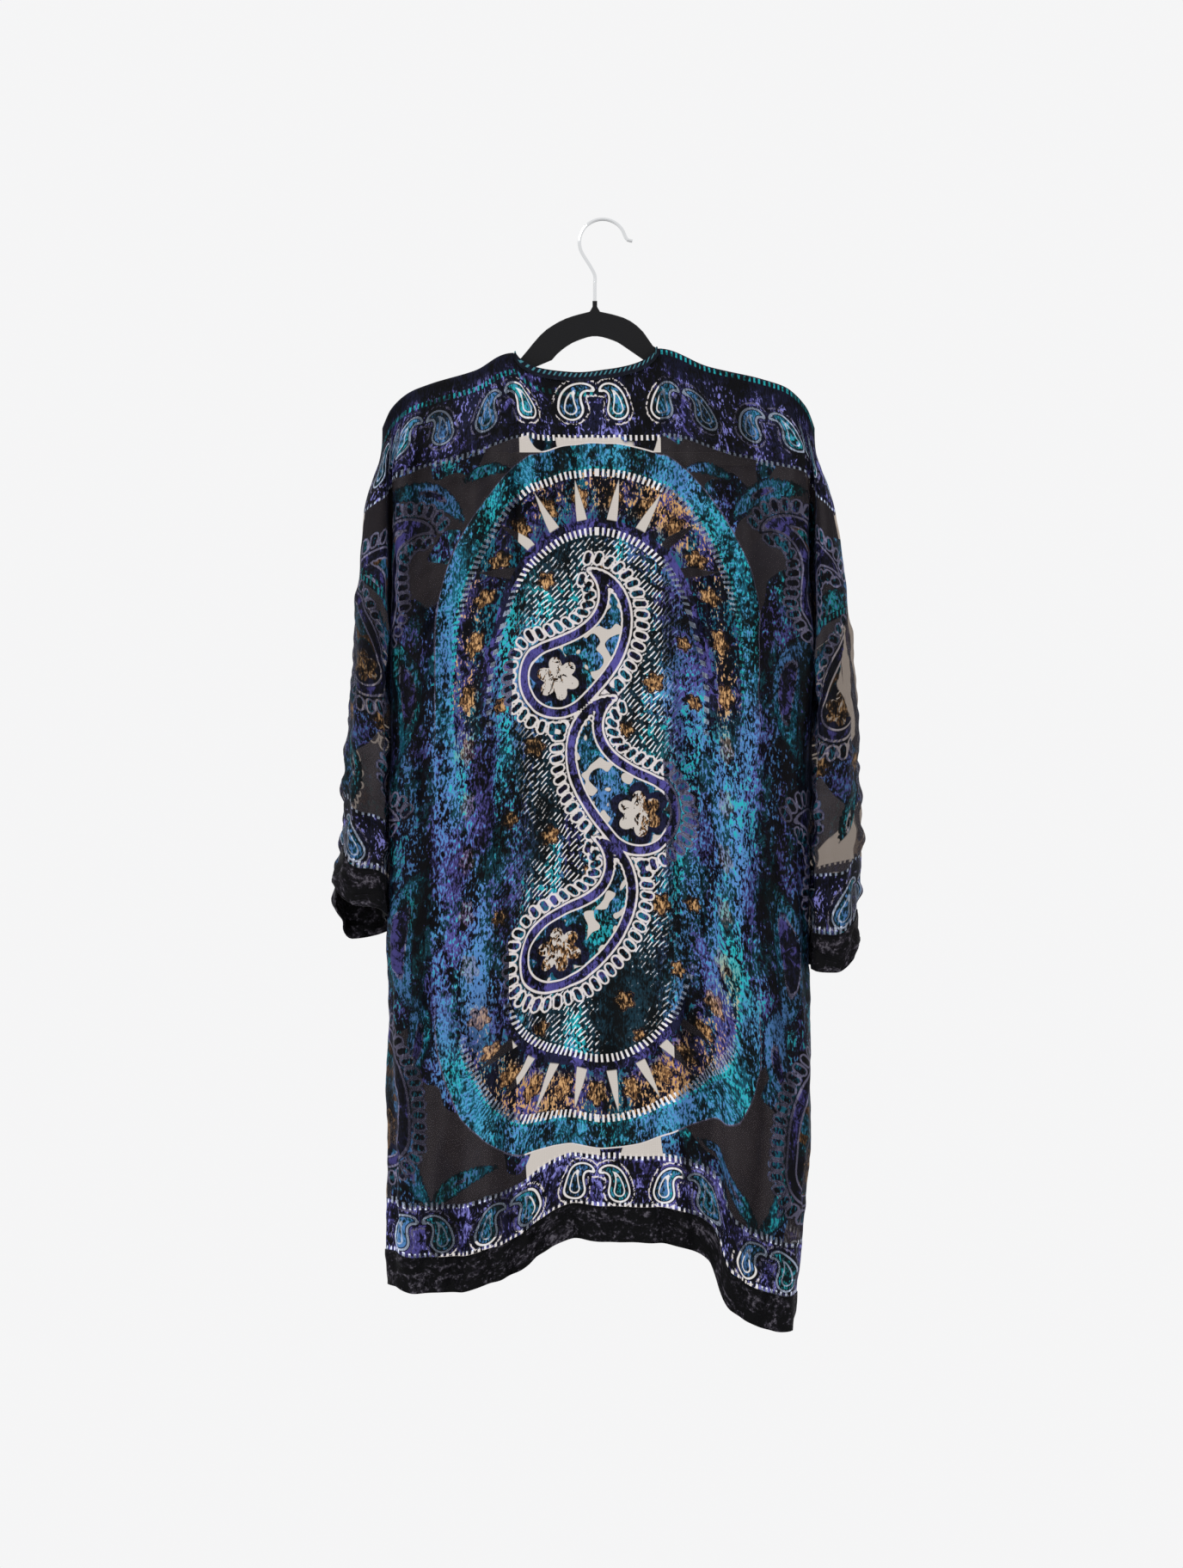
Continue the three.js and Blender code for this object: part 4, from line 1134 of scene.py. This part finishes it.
def principled(tree, colour=None, normal=None, **values):
    """A principled shader with plain values, and with a painted colour and a bump where given."""
    node = tree.nodes.new("ShaderNodeBsdfPrincipled")
    for name, value in values.items():
        node.inputs[name.replace("_", " ")].default_value = value
    for name, socket in (("Base Color", colour), ("Normal", normal)):
        if socket is not None:
            tree.links.new(socket, node.inputs[name])
    return node.outputs[0]


def finished(material, surface):
    tree = material.node_tree
    tree.links.new(surface, tree.nodes.new("ShaderNodeOutputMaterial").inputs["Surface"])
    return material


def attribute(tree, name):
    node = tree.nodes.new("ShaderNodeAttribute")
    node.attribute_name = name
    return Field(tree, node.outputs["Fac"])


def flat_coordinates(tree):
    """The flat cloth coordinates in millimetres, and their vector in metres."""
    node = tree.nodes.new("ShaderNodeUVMap")
    node.uv_map = "flat"
    split = tree.nodes.new("ShaderNodeSeparateXYZ")
    tree.links.new(node.outputs["UV"], split.inputs[0])
    return Field(tree, split.outputs["X"]) * 1000, Field(tree, split.outputs["Y"]) * 1000, node.outputs["UV"]


def noise(tree, vector, wave, stretch=(1, 1), detail=3.0, roughness=0.6, offset=0.0, distortion=0.0):
    """Noise in flat coordinates, with features about wave millimetres across."""
    mapping = tree.nodes.new("ShaderNodeMapping")
    mapping.inputs["Scale"].default_value = (1000 / wave * stretch[0], 1000 / wave * stretch[1], 1)
    mapping.inputs["Location"].default_value = (offset, offset * 1.7, 0)
    tree.links.new(vector, mapping.inputs["Vector"])
    node = tree.nodes.new("ShaderNodeTexNoise")
    node.noise_dimensions = "2D"
    values = (("Scale", 1.0), ("Detail", detail), ("Roughness", roughness), ("Distortion", distortion))
    for name, value in values:
        node.inputs[name].default_value = value
    tree.links.new(mapping.outputs["Vector"], node.inputs["Vector"])
    return Field(tree, node.outputs["Fac"])


def bump(tree, height, distance, strength=1.0):
    node = tree.nodes.new("ShaderNodeBump")
    node.inputs["Distance"].default_value = distance * MM
    node.inputs["Strength"].default_value = strength
    tree.links.new(height.socket, node.inputs["Height"])
    return node.outputs["Normal"]


NAVY = (0.0045, 0.005, 0.017)
INK = (0.0022, 0.0024, 0.0085)
DEEP_TEAL = (0.0025, 0.024, 0.033)
TEAL = (0.0045, 0.056, 0.085)
TURQUOISE = (0.0085, 0.18, 0.20)
AZURE = (0.037, 0.098, 0.22)
FRINGE = (0.03, 0.15, 0.25)
DARK_MIDDLE = (0.0035, 0.014, 0.022)
VIOLET = (0.036, 0.032, 0.125)
LILAC = (0.10, 0.10, 0.27)
BRONZE = (0.09, 0.044, 0.018)
GOLD = (0.25, 0.145, 0.065)
THREAD = (0.17, 0.16, 0.25)
STITCH = (0.36, 0.42, 0.54)
PALE = (0.52, 0.56, 0.68)
SHEER = (0.042, 0.036, 0.041)
PALE_SHEER = (0.064, 0.056, 0.062)
SHEER_TINT = (1.0, 0.92, 0.84, 1)  # what the sheer ground lets through

# The share of light that each panel lets through, at its burnt ground and at its fine lines.
CLEAR = {"back": 0.62, "sleeve": 0.46, "front": 0.30}
LINE_CLEAR = {"back": 0.70, "sleeve": 0.35, "front": 0.10}
# Painted sheen: how much each panel's pile colour is brightened where it would catch the light.
PAINTED_PILE_LIGHT = {"back": 2.2, "sleeve": 1.9, "front": 2.4}  # how strongly the standing pile catches the light

# The medallion's rings, in millimetres from its edge, which is 0.
TEAL_END = -29
RAY_TIP, RAY_FOOT = -36, -78
INNER_EDGE = -91
# Pitches of stitches, ticks and threads, in millimetres.
FRINGE_PITCH, TICK_PITCH, INNER_TICK_PITCH, BAND_STITCH = 4.4, 6.4, 11.5, 5.6
DASH_ROW, DASH_LENGTH, WEAVE = 6.2, 19, 1.7
SIDE_PANEL = 238  # from here to the sides, the back's lower part keeps its pile
STITCHES_END = 205  # U of the last lines that are burnt through the back


class Print(Paint):
    """A panel's print: the maps that it is made from, its colour, and the lines burnt through it."""

    def __init__(self, tree):
        super().__init__(tree, INK)
        self.u, self.v, self.flat = flat_coordinates(tree)
        for name in FIELDS:
            setattr(self, name, attribute(tree, name))
        # These noises pattern the print's colours and also shape the painted sheen and shade on the pile;
        # streak in particular stands for lit fold lines.
        self.cloudy = self.noise(90, (1.5, 0.6), 1.0, 0.5, 3.1)
        self.patchy = self.noise(52, (1.3, 0.7), 2.0, 0.6, 8.3)
        self.crush = self.noise(34, (1.8, 0.55), 2.0, 0.6, 12.4)
        self.streak = self.noise(62, (2.2, 0.28), 1.0, 0.5, 17.9)
        self.speckle = self.noise(9.0, (1.25, 0.8), 3.0, 0.78, 1.7, 0.5) * 1.1 - 0.55
        self.glint = self.noise(3.4, (1.6, 0.6), 1.0, 0.7, 5.5) * 1.1 - 0.55
        self.grain = self.speckle + self.glint
        straight = MEDALLION["straight"]
        self.ends = (self.v - MEDALLION["v"]).size().ramp(straight + 5, straight + 35)
        self.middle = self.u.size().ramp(95, 55)
        self.lines = None

    def noise(self, *values):
        return noise(self.tree, self.flat, *values)

    def draw(self, line, colour=THREAD):
        """A fine line of the print; the pile is burnt away along it."""
        self.over(line, colour)
        self.lines = line if self.lines is None else self.lines.most(line)

    def lay(self, mask, colour):
        """A motif's ground, which hides the lines under it."""
        self.over(mask, colour)
        self.lines = self.lines * mask.inverse()


def mottled_teal(m, bright=0.0):
    return Paint(m.tree, DEEP_TEAL).tones(
        (m.crush + m.speckle * 0.9, 0.42 - bright, 0.54 - bright, TEAL),
        (m.patchy + m.grain, 0.60 - bright, 0.72 - bright, TURQUOISE),
        (m.cloudy + m.glint + m.speckle * 0.6, 0.57 - bright, 0.69 - bright, AZURE),
    )


def bronze_bloom(m):
    return Paint(m.tree, BRONZE).tones((m.grain, 0.02, 0.16, GOLD), (m.grain, -0.10, -0.22, INK))


def crushed_ground(m, bright):
    """Dark crushed pile with sparse strokes of violet and blue."""
    return Paint(m.tree, INK).tones(
        (m.crush + m.speckle, 0.50 - bright, 0.62 - bright, DEEP_TEAL),
        (m.patchy + m.speckle * 0.9 + m.glint * 0.6, 0.60 - bright, 0.70 - bright, VIOLET),
        (m.streak + m.speckle * 0.9 + m.glint, 0.68 - bright, 0.84 - bright, AZURE),
        (m.cloudy + m.speckle + m.glint * 0.5, 0.76 - bright * 0.6, 0.90 - bright * 0.6, TURQUOISE),
    )


def inner_ground(m):
    """The ground inside the medallion, dark in the middle, with slanting running stitches."""
    paint = Paint(m.tree, DEEP_TEAL)
    lively = m.speckle * 1.1 + m.glint * 0.8
    paint.tones(
        (m.cloudy + lively - m.middle * 0.08, 0.46, 0.58, AZURE),
        (m.patchy + lively * 0.9, 0.56, 0.66, VIOLET),
        (m.crush + lively, 0.44, 0.34, INK),
        (m.streak + lively, 0.64, 0.76, TURQUOISE),
    )
    paint.over(m.middle * (m.cloudy + m.speckle * 0.5).ramp(0.62, 0.50), DARK_MIDDLE)
    # Each slanting row of stitches has a phase of its own.
    rows = (m.u * 1.05 + m.v + m.patchy * 14) / DASH_ROW
    phase = (rows.math("FLOOR") * 12.99).math("SINE") * 437.5
    dash = ((m.u - m.v * 0.95) / DASH_LENGTH + phase).fraction().ramp(0.70, 0.62)
    stitch = rows.off_middle(1).ramp(0.19, 0.08) * dash
    paint.over(stitch * m.middle.inverse() * (m.patchy + m.speckle).ramp(0.44, 0.56), AZURE)
    m.stitches = stitch * (m.cloudy + m.speckle * 0.5).ramp(0.35, 0.45) * (m.middle * 0.85 + 0.15)
    return paint.value


def paint_outer_rings(m):
    """The teal ring with its fringe, and the flowered ring inside it."""
    flowered = m.ring.between(INNER_EDGE - 1, TEAL_END)
    m.over(flowered, INK)
    m.tones((m.patchy + m.speckle, 0.50, 0.60, VIOLET), (m.crush + m.grain, 0.60, 0.70, TEAL), mask=flowered)
    gilt = (m.cloudy * 0.6 + m.grain + m.ends * 0.10).ramp(0.52, 0.62)
    m.over(flowered * gilt * m.ring.ramp(-76, -60), bronze_bloom(m))
    outer = m.ring.between(TEAL_END, 0.5)
    m.over(outer, mottled_teal(m, -0.05))
    m.over(outer * m.ends.inverse() * (m.streak + m.grain).ramp(0.56, 0.72), AZURE)
    fringe = (m.turn / FRINGE_PITCH + m.speckle * 2.8).off_middle(1).ramp(0.22, 0.34)
    m.over(outer * fringe * (m.streak + m.speckle * 1.2 - m.ends * 0.08).ramp(0.46, 0.60), FRINGE)
    ticks = m.turn.repeat(TICK_PITCH).ramp(0.50, 0.38)
    m.over(m.ring.between(TEAL_END - 2, TEAL_END + 5) * ticks, TURQUOISE)
    m.draw(m.ring.line(TEAL_END - 1.5, 3.8) * ticks * m.ends, STITCH)
    m.draw(m.ring.line(0.0, 0.7))


def paint_medallion(m):
    paint_outer_rings(m)
    m.over(m.ring.inside(INNER_EDGE), inner_ground(m))
    m.draw(m.stitches * m.ring.inside(INNER_EDGE - 7, 2) * m.middle.most(m.ends), STITCH)
    hem = m.ring.between(INNER_EDGE - 2, RAY_FOOT)
    m.over(hem, NAVY)
    m.over(hem * (m.patchy + m.speckle).ramp(0.52, 0.60), VIOLET)
    m.draw(m.ring.line(INNER_EDGE, 4.0) * m.turn.repeat(INNER_TICK_PITCH).ramp(0.46, 0.38), STITCH)
    # The rings dissolve into crushed strokes at the medallion's sides.
    sides = ((m.v - 500).size() + m.cloudy * 120 - 60).ramp(185, 105)
    m.fade = sides * m.ring.between(INNER_EDGE - 8, 4, 4)
    m.lay(m.fade, crushed_ground(m, 0.12))
    wedge = m.turn.off_middle(MEDALLION["lobe"]) * MEDALLION["lobe"] - (m.ring * -1 + RAY_TIP) * 0.23
    m.rays = wedge.inside(0.0, 0.8) * m.ring.between(RAY_FOOT, RAY_TIP, 1.0) * m.ends


def paint_leaves_and_flowers(m):
    outer = m.ring.ramp(-1, 1)
    vein = (m.leaf + m.glint * 6).inside(-8) * outer
    m.lay(m.leaf.inside(2) * outer, INK)
    m.over((m.leaf + m.glint * 9).inside() * outer, mottled_teal(m, 0.03))
    m.over(vein, NAVY)
    m.over(vein * (m.crush + m.speckle).ramp(0.54, 0.60), VIOLET)
    m.draw((m.leaf + m.speckle * 2).line(-8.5, 0.6) * outer * m.speckle.ramp(-0.05, 0.0))
    on_rings = m.ring.between(-80, -34) * (m.fade * -0.75 + 1)
    bloom = (m.flower + m.glint * 4).inside() * m.ring.inside(-97).most(outer, on_rings)
    m.lay(bloom, bronze_bloom(m))
    m.over((m.flower + m.glint * 3).line(-1, 0.8) * bloom, INK)


def paint_botehs(m):
    """The large paisleys: petals, a violet rim, a teal body and a bronze heart."""
    clear = m.band.ramp(-1, 1)
    outside = m.boteh.ramp(-0.5, 0.5)
    centre = m.ring.inside(-60, 10)
    ring = m.petal.inside() * outside * clear
    m.lay(ring, INK)
    m.tones(
        (m.patchy + m.speckle * 0.6 + centre * 0.10, 0.62, 0.70, VIOLET),
        (m.crush + m.glint, 0.56, 0.66, TEAL), mask=ring,
    )
    m.draw(m.petal.line(-0.9, 0.9) * outside * clear)
    body = m.boteh.inside(0.6) * clear
    m.lay(body, NAVY)
    rim = body * m.boteh.between(-10, -2)
    m.over(rim * (m.speckle + m.crush + centre * 0.14).ramp(0.54, 0.66), VIOLET)
    inner = body * m.boteh.inside(-12)
    m.over(inner, mottled_teal(m, -0.02))
    m.over(inner * m.heart.inside(9), NAVY)
    m.draw(m.boteh.line(-1.4, 1.1) * clear)
    m.draw(m.boteh.line(-11.5, 0.9) * clear)
    heart = m.heart.inside() * m.boteh.inside(-13) * clear
    m.over(heart, bronze_bloom(m))
    spots = m.noise(15, (1, 1), 0.0, 0.5, 9.0).ramp(0.60, 0.63) * inner * m.heart.ramp(10, 12)
    m.over(spots, BRONZE)
    m.windows = (heart * (m.patchy + m.speckle * 1.4).ramp(0.40, 0.46)).most(spots * centre)


def paint_bands(m):
    """The yoke, hem and cuff bands with their rows of small paisleys, and the lines of stitches."""
    low = m.v.ramp(300, 600) * 0.20
    band = Paint(m.tree, NAVY)
    band.tones(
        (m.patchy + m.speckle * 1.2 + low, 0.64, 0.74, VIOLET),
        (m.crush + m.grain + low * 0.3, 0.72, 0.82, LILAC),
        (m.cloudy + m.speckle * 0.8, 0.46, 0.36, INK),
    )
    band.over(m.sprig.inside(3.0), INK)
    band.over(m.sprig.inside(-1.0), mottled_teal(m, 0.06))
    inside = m.band.inside()
    m.lay(inside, band.value)
    halo = (m.sprig + m.glint * 2.0).line(6.0, 0.7) * (m.speckle + 0.5).ramp(0.46, 0.52)
    m.draw(halo * inside)
    m.draw(m.sprig.line(1.0, 0.9) * inside, STITCH)
    m.draw(m.sprig.line(-4.6, 0.6) * inside, STITCH)
    along = m.u.repeat(BAND_STITCH).ramp(0.46, 0.34)
    m.draw(m.band.line(0.0, 2.8) * along, STITCH)
    outside = m.ring.ramp(50, 60) * m.v.ramp(280, 290)
    low_line = m.band.line(-2.6, 1.6) * (m.v - 500).math("GREATER_THAN", 0).most(outside)
    m.over(low_line * along, PALE)
    m.over(m.band.inside(-30) * m.v.ramp(26, 12), INK)
    m.over(m.seam.ramp(3.0, 2.2) * along, TURQUOISE)


def pile_cover(m, kind):
    """1 where the pile stands, 0 where it is burnt away down to the sheer ground."""
    off = m.u.size()
    leaves = (m.leaf + m.glint * 5).inside(1.0)
    kept = m.ring.inside(0.0, 0.8).most(leaves, m.flower.inside(1.5), m.band.inside())
    kept = kept.most(m.boteh.inside(1.5), m.petal.inside(0.6), m.seam.inside(5.0))
    islands = m.noise(60, (1, 0.7), 1.0, 0.5, 21.0)
    if kind == "front":
        kept = kept.most(islands.ramp(0.34, 0.35), off.ramp(150, 151))
    elif kind == "sleeve":
        kept = kept.most(islands.ramp(0.50, 0.51), m.u.ramp(178, 182), m.u.ramp(30, 26))
        kept = (kept * m.turn.ramp(-0.06, -0.02)).most(m.band.inside())
    else:
        side_panel = off.ramp(SIDE_PANEL, SIDE_PANEL + 2) * m.v.ramp(225, 232)
        waist = ((m.v - 452).size() + islands * 110 + off * 0.22).ramp(304, 300)
        kept = kept.most(islands.ramp(0.57, 0.58), side_panel, waist)
    return kept * (m.windows * off.ramp(SIDE_PANEL - 2, SIDE_PANEL - 12)).most(m.rays).inverse()


def colour_with_painted_light(m, cover, kind):
    """The print with painted sheen and shade on its crushed pile, and the sheer ground between."""
    # Painted light: streaks and patches of noise brighten or darken the pile's colour where crushed pile and
    # soft folds would catch the light or lie in shade; the medallion's sides, off the middle, are painted a
    # little lighter.
    light = m.crush * 0.4 + m.streak * 0.5 + m.cloudy * 0.25 + m.speckle * 0.6 + m.glint * 0.5
    light = (light + m.middle.inverse() * m.ring.inside(10) * 0.05).ramp(0.44, 0.76)
    # The painted light is strongest inside the medallion, weaker in the bands and weakest elsewhere, and
    # differs from panel to panel.
    strength = m.ring.ramp(-5, 25) * (m.band.ramp(-2, 4) * -0.7 - 0.4) + PAINTED_PILE_LIGHT[kind]
    painted_light_node = m.tree.nodes.new("ShaderNodeHueSaturation")
    m.tree.links.new(m.value, painted_light_node.inputs["Color"])
    # The painted light scales the colour's value; the fine lines never fall below a set brightness.
    m.tree.links.new((light.most(m.lines * 0.36) * strength + 0.12).socket, painted_light_node.inputs["Value"])
    ground = Paint(m.tree, SHEER).tones((m.streak + m.speckle * 0.1, 0.42, 0.66, PALE_SHEER))
    paint = Paint(m.tree, painted_light_node.outputs["Color"])
    paint.over(cover.inverse(), ground)
    return paint.value


def see_through(m, cover, kind):
    """The share of light that passes: through the burnt ground, its weave and the fine lines."""
    lines = m.lines * m.u.size().ramp(STITCHES_END + 10, STITCHES_END - 10) if kind == "back" else m.lines
    weave = m.u.off_middle(WEAVE) + m.v.off_middle(WEAVE)
    return (cover.inverse() * (weave * -0.08 + CLEAR[kind] + 0.04)).most(lines * LINE_CLEAR[kind])


def printed_velvet(kind):
    """Burnout velvet: a printed pile, crushed so that it glints, on a sheer ground."""
    material, tree = new_material(f"printed_velvet_{kind}")
    m = Print(tree)
    m.value = crushed_ground(m, 0.0)
    for layer in (paint_medallion, paint_leaves_and_flowers, paint_botehs, paint_bands):
        layer(m)
    cover = pile_cover(m, kind)
    velvet = principled(
        tree, colour_with_painted_light(m, cover, kind), bump(tree, m.speckle * 0.45 + m.glint * 0.35, 1.8, 0.9),
        Roughness=0.6, Sheen_Weight=0.06, Sheen_Roughness=0.35, Sheen_Tint=(0.40, 0.52, 1.0, 1),
        Specular_IOR_Level=0.09,
    )
    through = tree.nodes.new("ShaderNodeBsdfTransparent")
    through.inputs["Color"].default_value = SHEER_TINT
    blend = tree.nodes.new("ShaderNodeMixShader")
    for i, socket in enumerate((see_through(m, cover, kind).socket, velvet, through.outputs[0])):
        tree.links.new(socket, blend.inputs[i])
    return finished(material, blend.outputs[0])


def velvet_reverse():
    """The dull wrong side of the fronts, which shows through the back's sheer ground."""
    material, tree = new_material("velvet_reverse")
    faded = noise(tree, flat_coordinates(tree)[2], 70, (1.3, 0.7), 2.0, 0.6, 4.4)
    colour = Paint(tree, (0.016, 0.0135, 0.017)).tones((faded, 0.50, 0.66, (0.012, 0.013, 0.026)))
    return finished(material, principled(tree, colour, Roughness=0.85, Specular_IOR_Level=0.1))


def plain_velvet():
    """Plain black velvet of the cuffs and hems, crushed, with painted highlights on the patches that would
    catch the light.
    """
    material, tree = new_material("plain_velvet")
    flat = flat_coordinates(tree)[2]
    crush = noise(tree, flat, 19, (0.8, 1.3), 3.0, 0.65, 2.2, 0.8)
    speckle = noise(tree, flat, 4.5, (1, 1), 2.0, 0.7, 6.2) - 0.5
    colour = Paint(tree, (0.0012, 0.0012, 0.0018)).tones(
        (crush + speckle * 0.8, 0.48, 0.70, (0.015, 0.013, 0.019)),
        # The palest tone is a painted highlight on the crushed patches.
        (crush + speckle * 1.1, 0.62, 0.88, (0.085, 0.078, 0.095)),
    )
    return finished(material, principled(
        tree, colour, bump(tree, crush * 1.2 + speckle * 0.4, 3.0, 1.0), Roughness=0.7, Sheen_Weight=0.03,
        Sheen_Roughness=0.35, Sheen_Tint=(0.5, 0.5, 0.6, 1), Specular_IOR_Level=0.09,
    ))


def neck_velvet():
    """The neckband's plain velvet, with its row of pale stitches."""
    material, tree = new_material("neck_velvet")
    u, v, flat = flat_coordinates(tree)
    speckle = noise(tree, flat, 4.5, (1, 1), 3.0, 0.65, 6.2)
    stitches = (u + v * 0.6).repeat(5.0).ramp(0.42, 0.30) * v.between(1.0, 5.0)
    paint = Paint(tree, (0.0025, 0.003, 0.008))
    paint.tones((speckle, 0.5, 0.7, (0.008, 0.012, 0.028)))
    paint.over(stitches, (0.055, 0.20, 0.24))
    return finished(material, principled(
        tree, paint.value, bump(tree, speckle + stitches, 0.6, 0.8), Roughness=0.7, Sheen_Weight=0.05,
        Sheen_Tint=(0.5, 0.6, 0.7, 1), Specular_IOR_Level=0.12,
    ))


def flocked():
    """Black flocking of the hanger."""
    material, tree = new_material("flocked")
    place = tree.nodes.new("ShaderNodeTexCoord")
    fuzz = tree.nodes.new("ShaderNodeTexNoise")
    fuzz.inputs["Scale"].default_value = 900
    fuzz.inputs["Detail"].default_value = 2
    tree.links.new(place.outputs["Object"], fuzz.inputs["Vector"])
    return finished(material, principled(
        tree, None, bump(tree, Field(tree, fuzz.outputs["Fac"]), 0.25, 0.6),
        Base_Color=(0.010, 0.010, 0.011, 1), Roughness=0.95, Sheen_Weight=0.18, Specular_IOR_Level=0.1,
    ))


def polished_chrome():
    material, tree = new_material("polished_chrome")
    chrome = principled(tree, Base_Color=(0.74, 0.75, 0.76, 1), Metallic=1.0, Roughness=0.10)
    return finished(material, chrome)


# ---------- the object ----------


def dress(piece, node):
    """Hide the CAD node that a piece takes the place of, and hand the piece back."""
    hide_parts(node)
    return piece


prints = {kind: printed_velvet(kind) for kind in CLEAR}
plain, neck, flock, chrome = plain_velvet(), neck_velvet(), flocked(), polished_chrome()
reverse = velvet_reverse()

hook_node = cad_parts["hook"]
hook_node.data.materials.clear()
hook_node.data.materials.append(chrome)
hanger = dress(make_hanger(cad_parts["hanger"], flock), "hanger")

back, back_body = make_back(prints["back"])
dress(back, "back")
hem = dress(make_hem("hem_back_cloth", back_body, BACKWARDS, plain), "hem_back")
band = dress(make_neckband(neck), "neckband")

for word, side in (("left", LEFT), ("right", RIGHT)):
    front, front_inside, front_body = make_front(side, word, prints["front"], reverse)
    front_hem = make_hem(f"hem_front_{word}_cloth", front_body, FORWARDS, plain)
    sleeve = make_sleeve(side, word, prints["sleeve"])
    cuff = make_cuff(side, word, plain)
    dress(front, f"front_{word}")
    dress(front_hem, f"hem_front_{word}")
    dress(sleeve, f"sleeve_{word}")
    dress(cuff, f"cuff_{word}")
    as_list(back)


# ---------- stage, camera and light ----------

CAMERA_CENTRE = Vector((-0.0114, 0, -0.5764))  # middle of the view
FRAME_HEIGHT = 1.605  # what the view takes in at the object
CAMERA_DISTANCE = 3.6
SENSOR = 36
FLOOR_Z = -1.62
FLOOR_RADIUS = 0.95
PALE_LEVEL = 0.915  # the backdrop
WORLD_STOPS = ((0.0, 0.30), (0.36, PALE_LEVEL), (0.64, PALE_LEVEL), (1.0, 1.0))  # height and level


def make_floor():
    """A pale round floor under the garment; the pale world is the backdrop."""
    material, tree = new_material("floor")
    finished(material, principled(tree, Base_Color=(0.88, 0.88, 0.885, 1), Roughness=0.9))
    around = [2 * math.pi * i / 96 for i in range(96)]
    points = [(FLOOR_RADIUS * math.cos(a), FLOOR_RADIUS * math.sin(a), FLOOR_Z) for a in around]
    mesh = bpy.data.meshes.new("floor")
    mesh.from_pydata(points, [], [tuple(range(96))])
    mesh.materials.append(material)
    add_to_scene("floor", mesh)


def make_world():
    """Pale light from all round, as in a white studio: brighter from above than from below."""
    world = bpy.data.worlds.new("studio")
    world.use_nodes = True
    tree = world.node_tree
    direction = tree.nodes.new("ShaderNodeTexCoord")
    split = tree.nodes.new("ShaderNodeSeparateXYZ")
    tree.links.new(direction.outputs["Generated"], split.inputs[0])
    ramp = tree.nodes.new("ShaderNodeValToRGB")
    ramp.color_ramp.interpolation = "EASE"
    height = Field(tree, split.outputs["Z"]) * 0.5 + 0.5
    tree.links.new(height.socket, ramp.inputs["Fac"])
    while len(ramp.color_ramp.elements) < len(WORLD_STOPS):
        ramp.color_ramp.elements.new(0.5)
    for element, (position, level) in zip(ramp.color_ramp.elements, WORLD_STOPS):
        element.position = position
        element.color = (level, level, level * 1.005, 1)
    tree.links.new(ramp.outputs["Color"], tree.nodes["Background"].inputs["Color"])
    bpy.context.scene.world = world


def aim(obj, target):
    obj.rotation_euler = (Vector(target) - obj.location).to_track_quat("-Z", "Y").to_euler()


def area_light(name, place, target, size, power):
    light = bpy.data.lights.new(name, "AREA")
    light.shape = "RECTANGLE"
    light.size, light.size_y = size
    light.energy = power
    obj = add_to_scene(name, light)
    obj.location = place
    aim(obj, target)


make_floor()
make_world()
area_light("key", (-2.0, -1.9, 1.3), (0, 0, -0.55), (0.9, 1.4), 34)
area_light("fill", (2.6, -1.6, 0.2), (0, 0, -0.6), (1.0, 1.8), 7)

camera_data = bpy.data.cameras.new("camera")
camera_data.sensor_fit = "AUTO"
camera_data.sensor_width = SENSOR
camera_data.lens = SENSOR * CAMERA_DISTANCE / FRAME_HEIGHT
camera = add_to_scene("camera", camera_data)
camera.location = CAMERA_CENTRE + Vector((0, -CAMERA_DISTANCE, 0))
aim(camera, CAMERA_CENTRE)
bpy.context.scene.camera = camera
bpy.context.scene.view_settings.view_transform = "Standard"
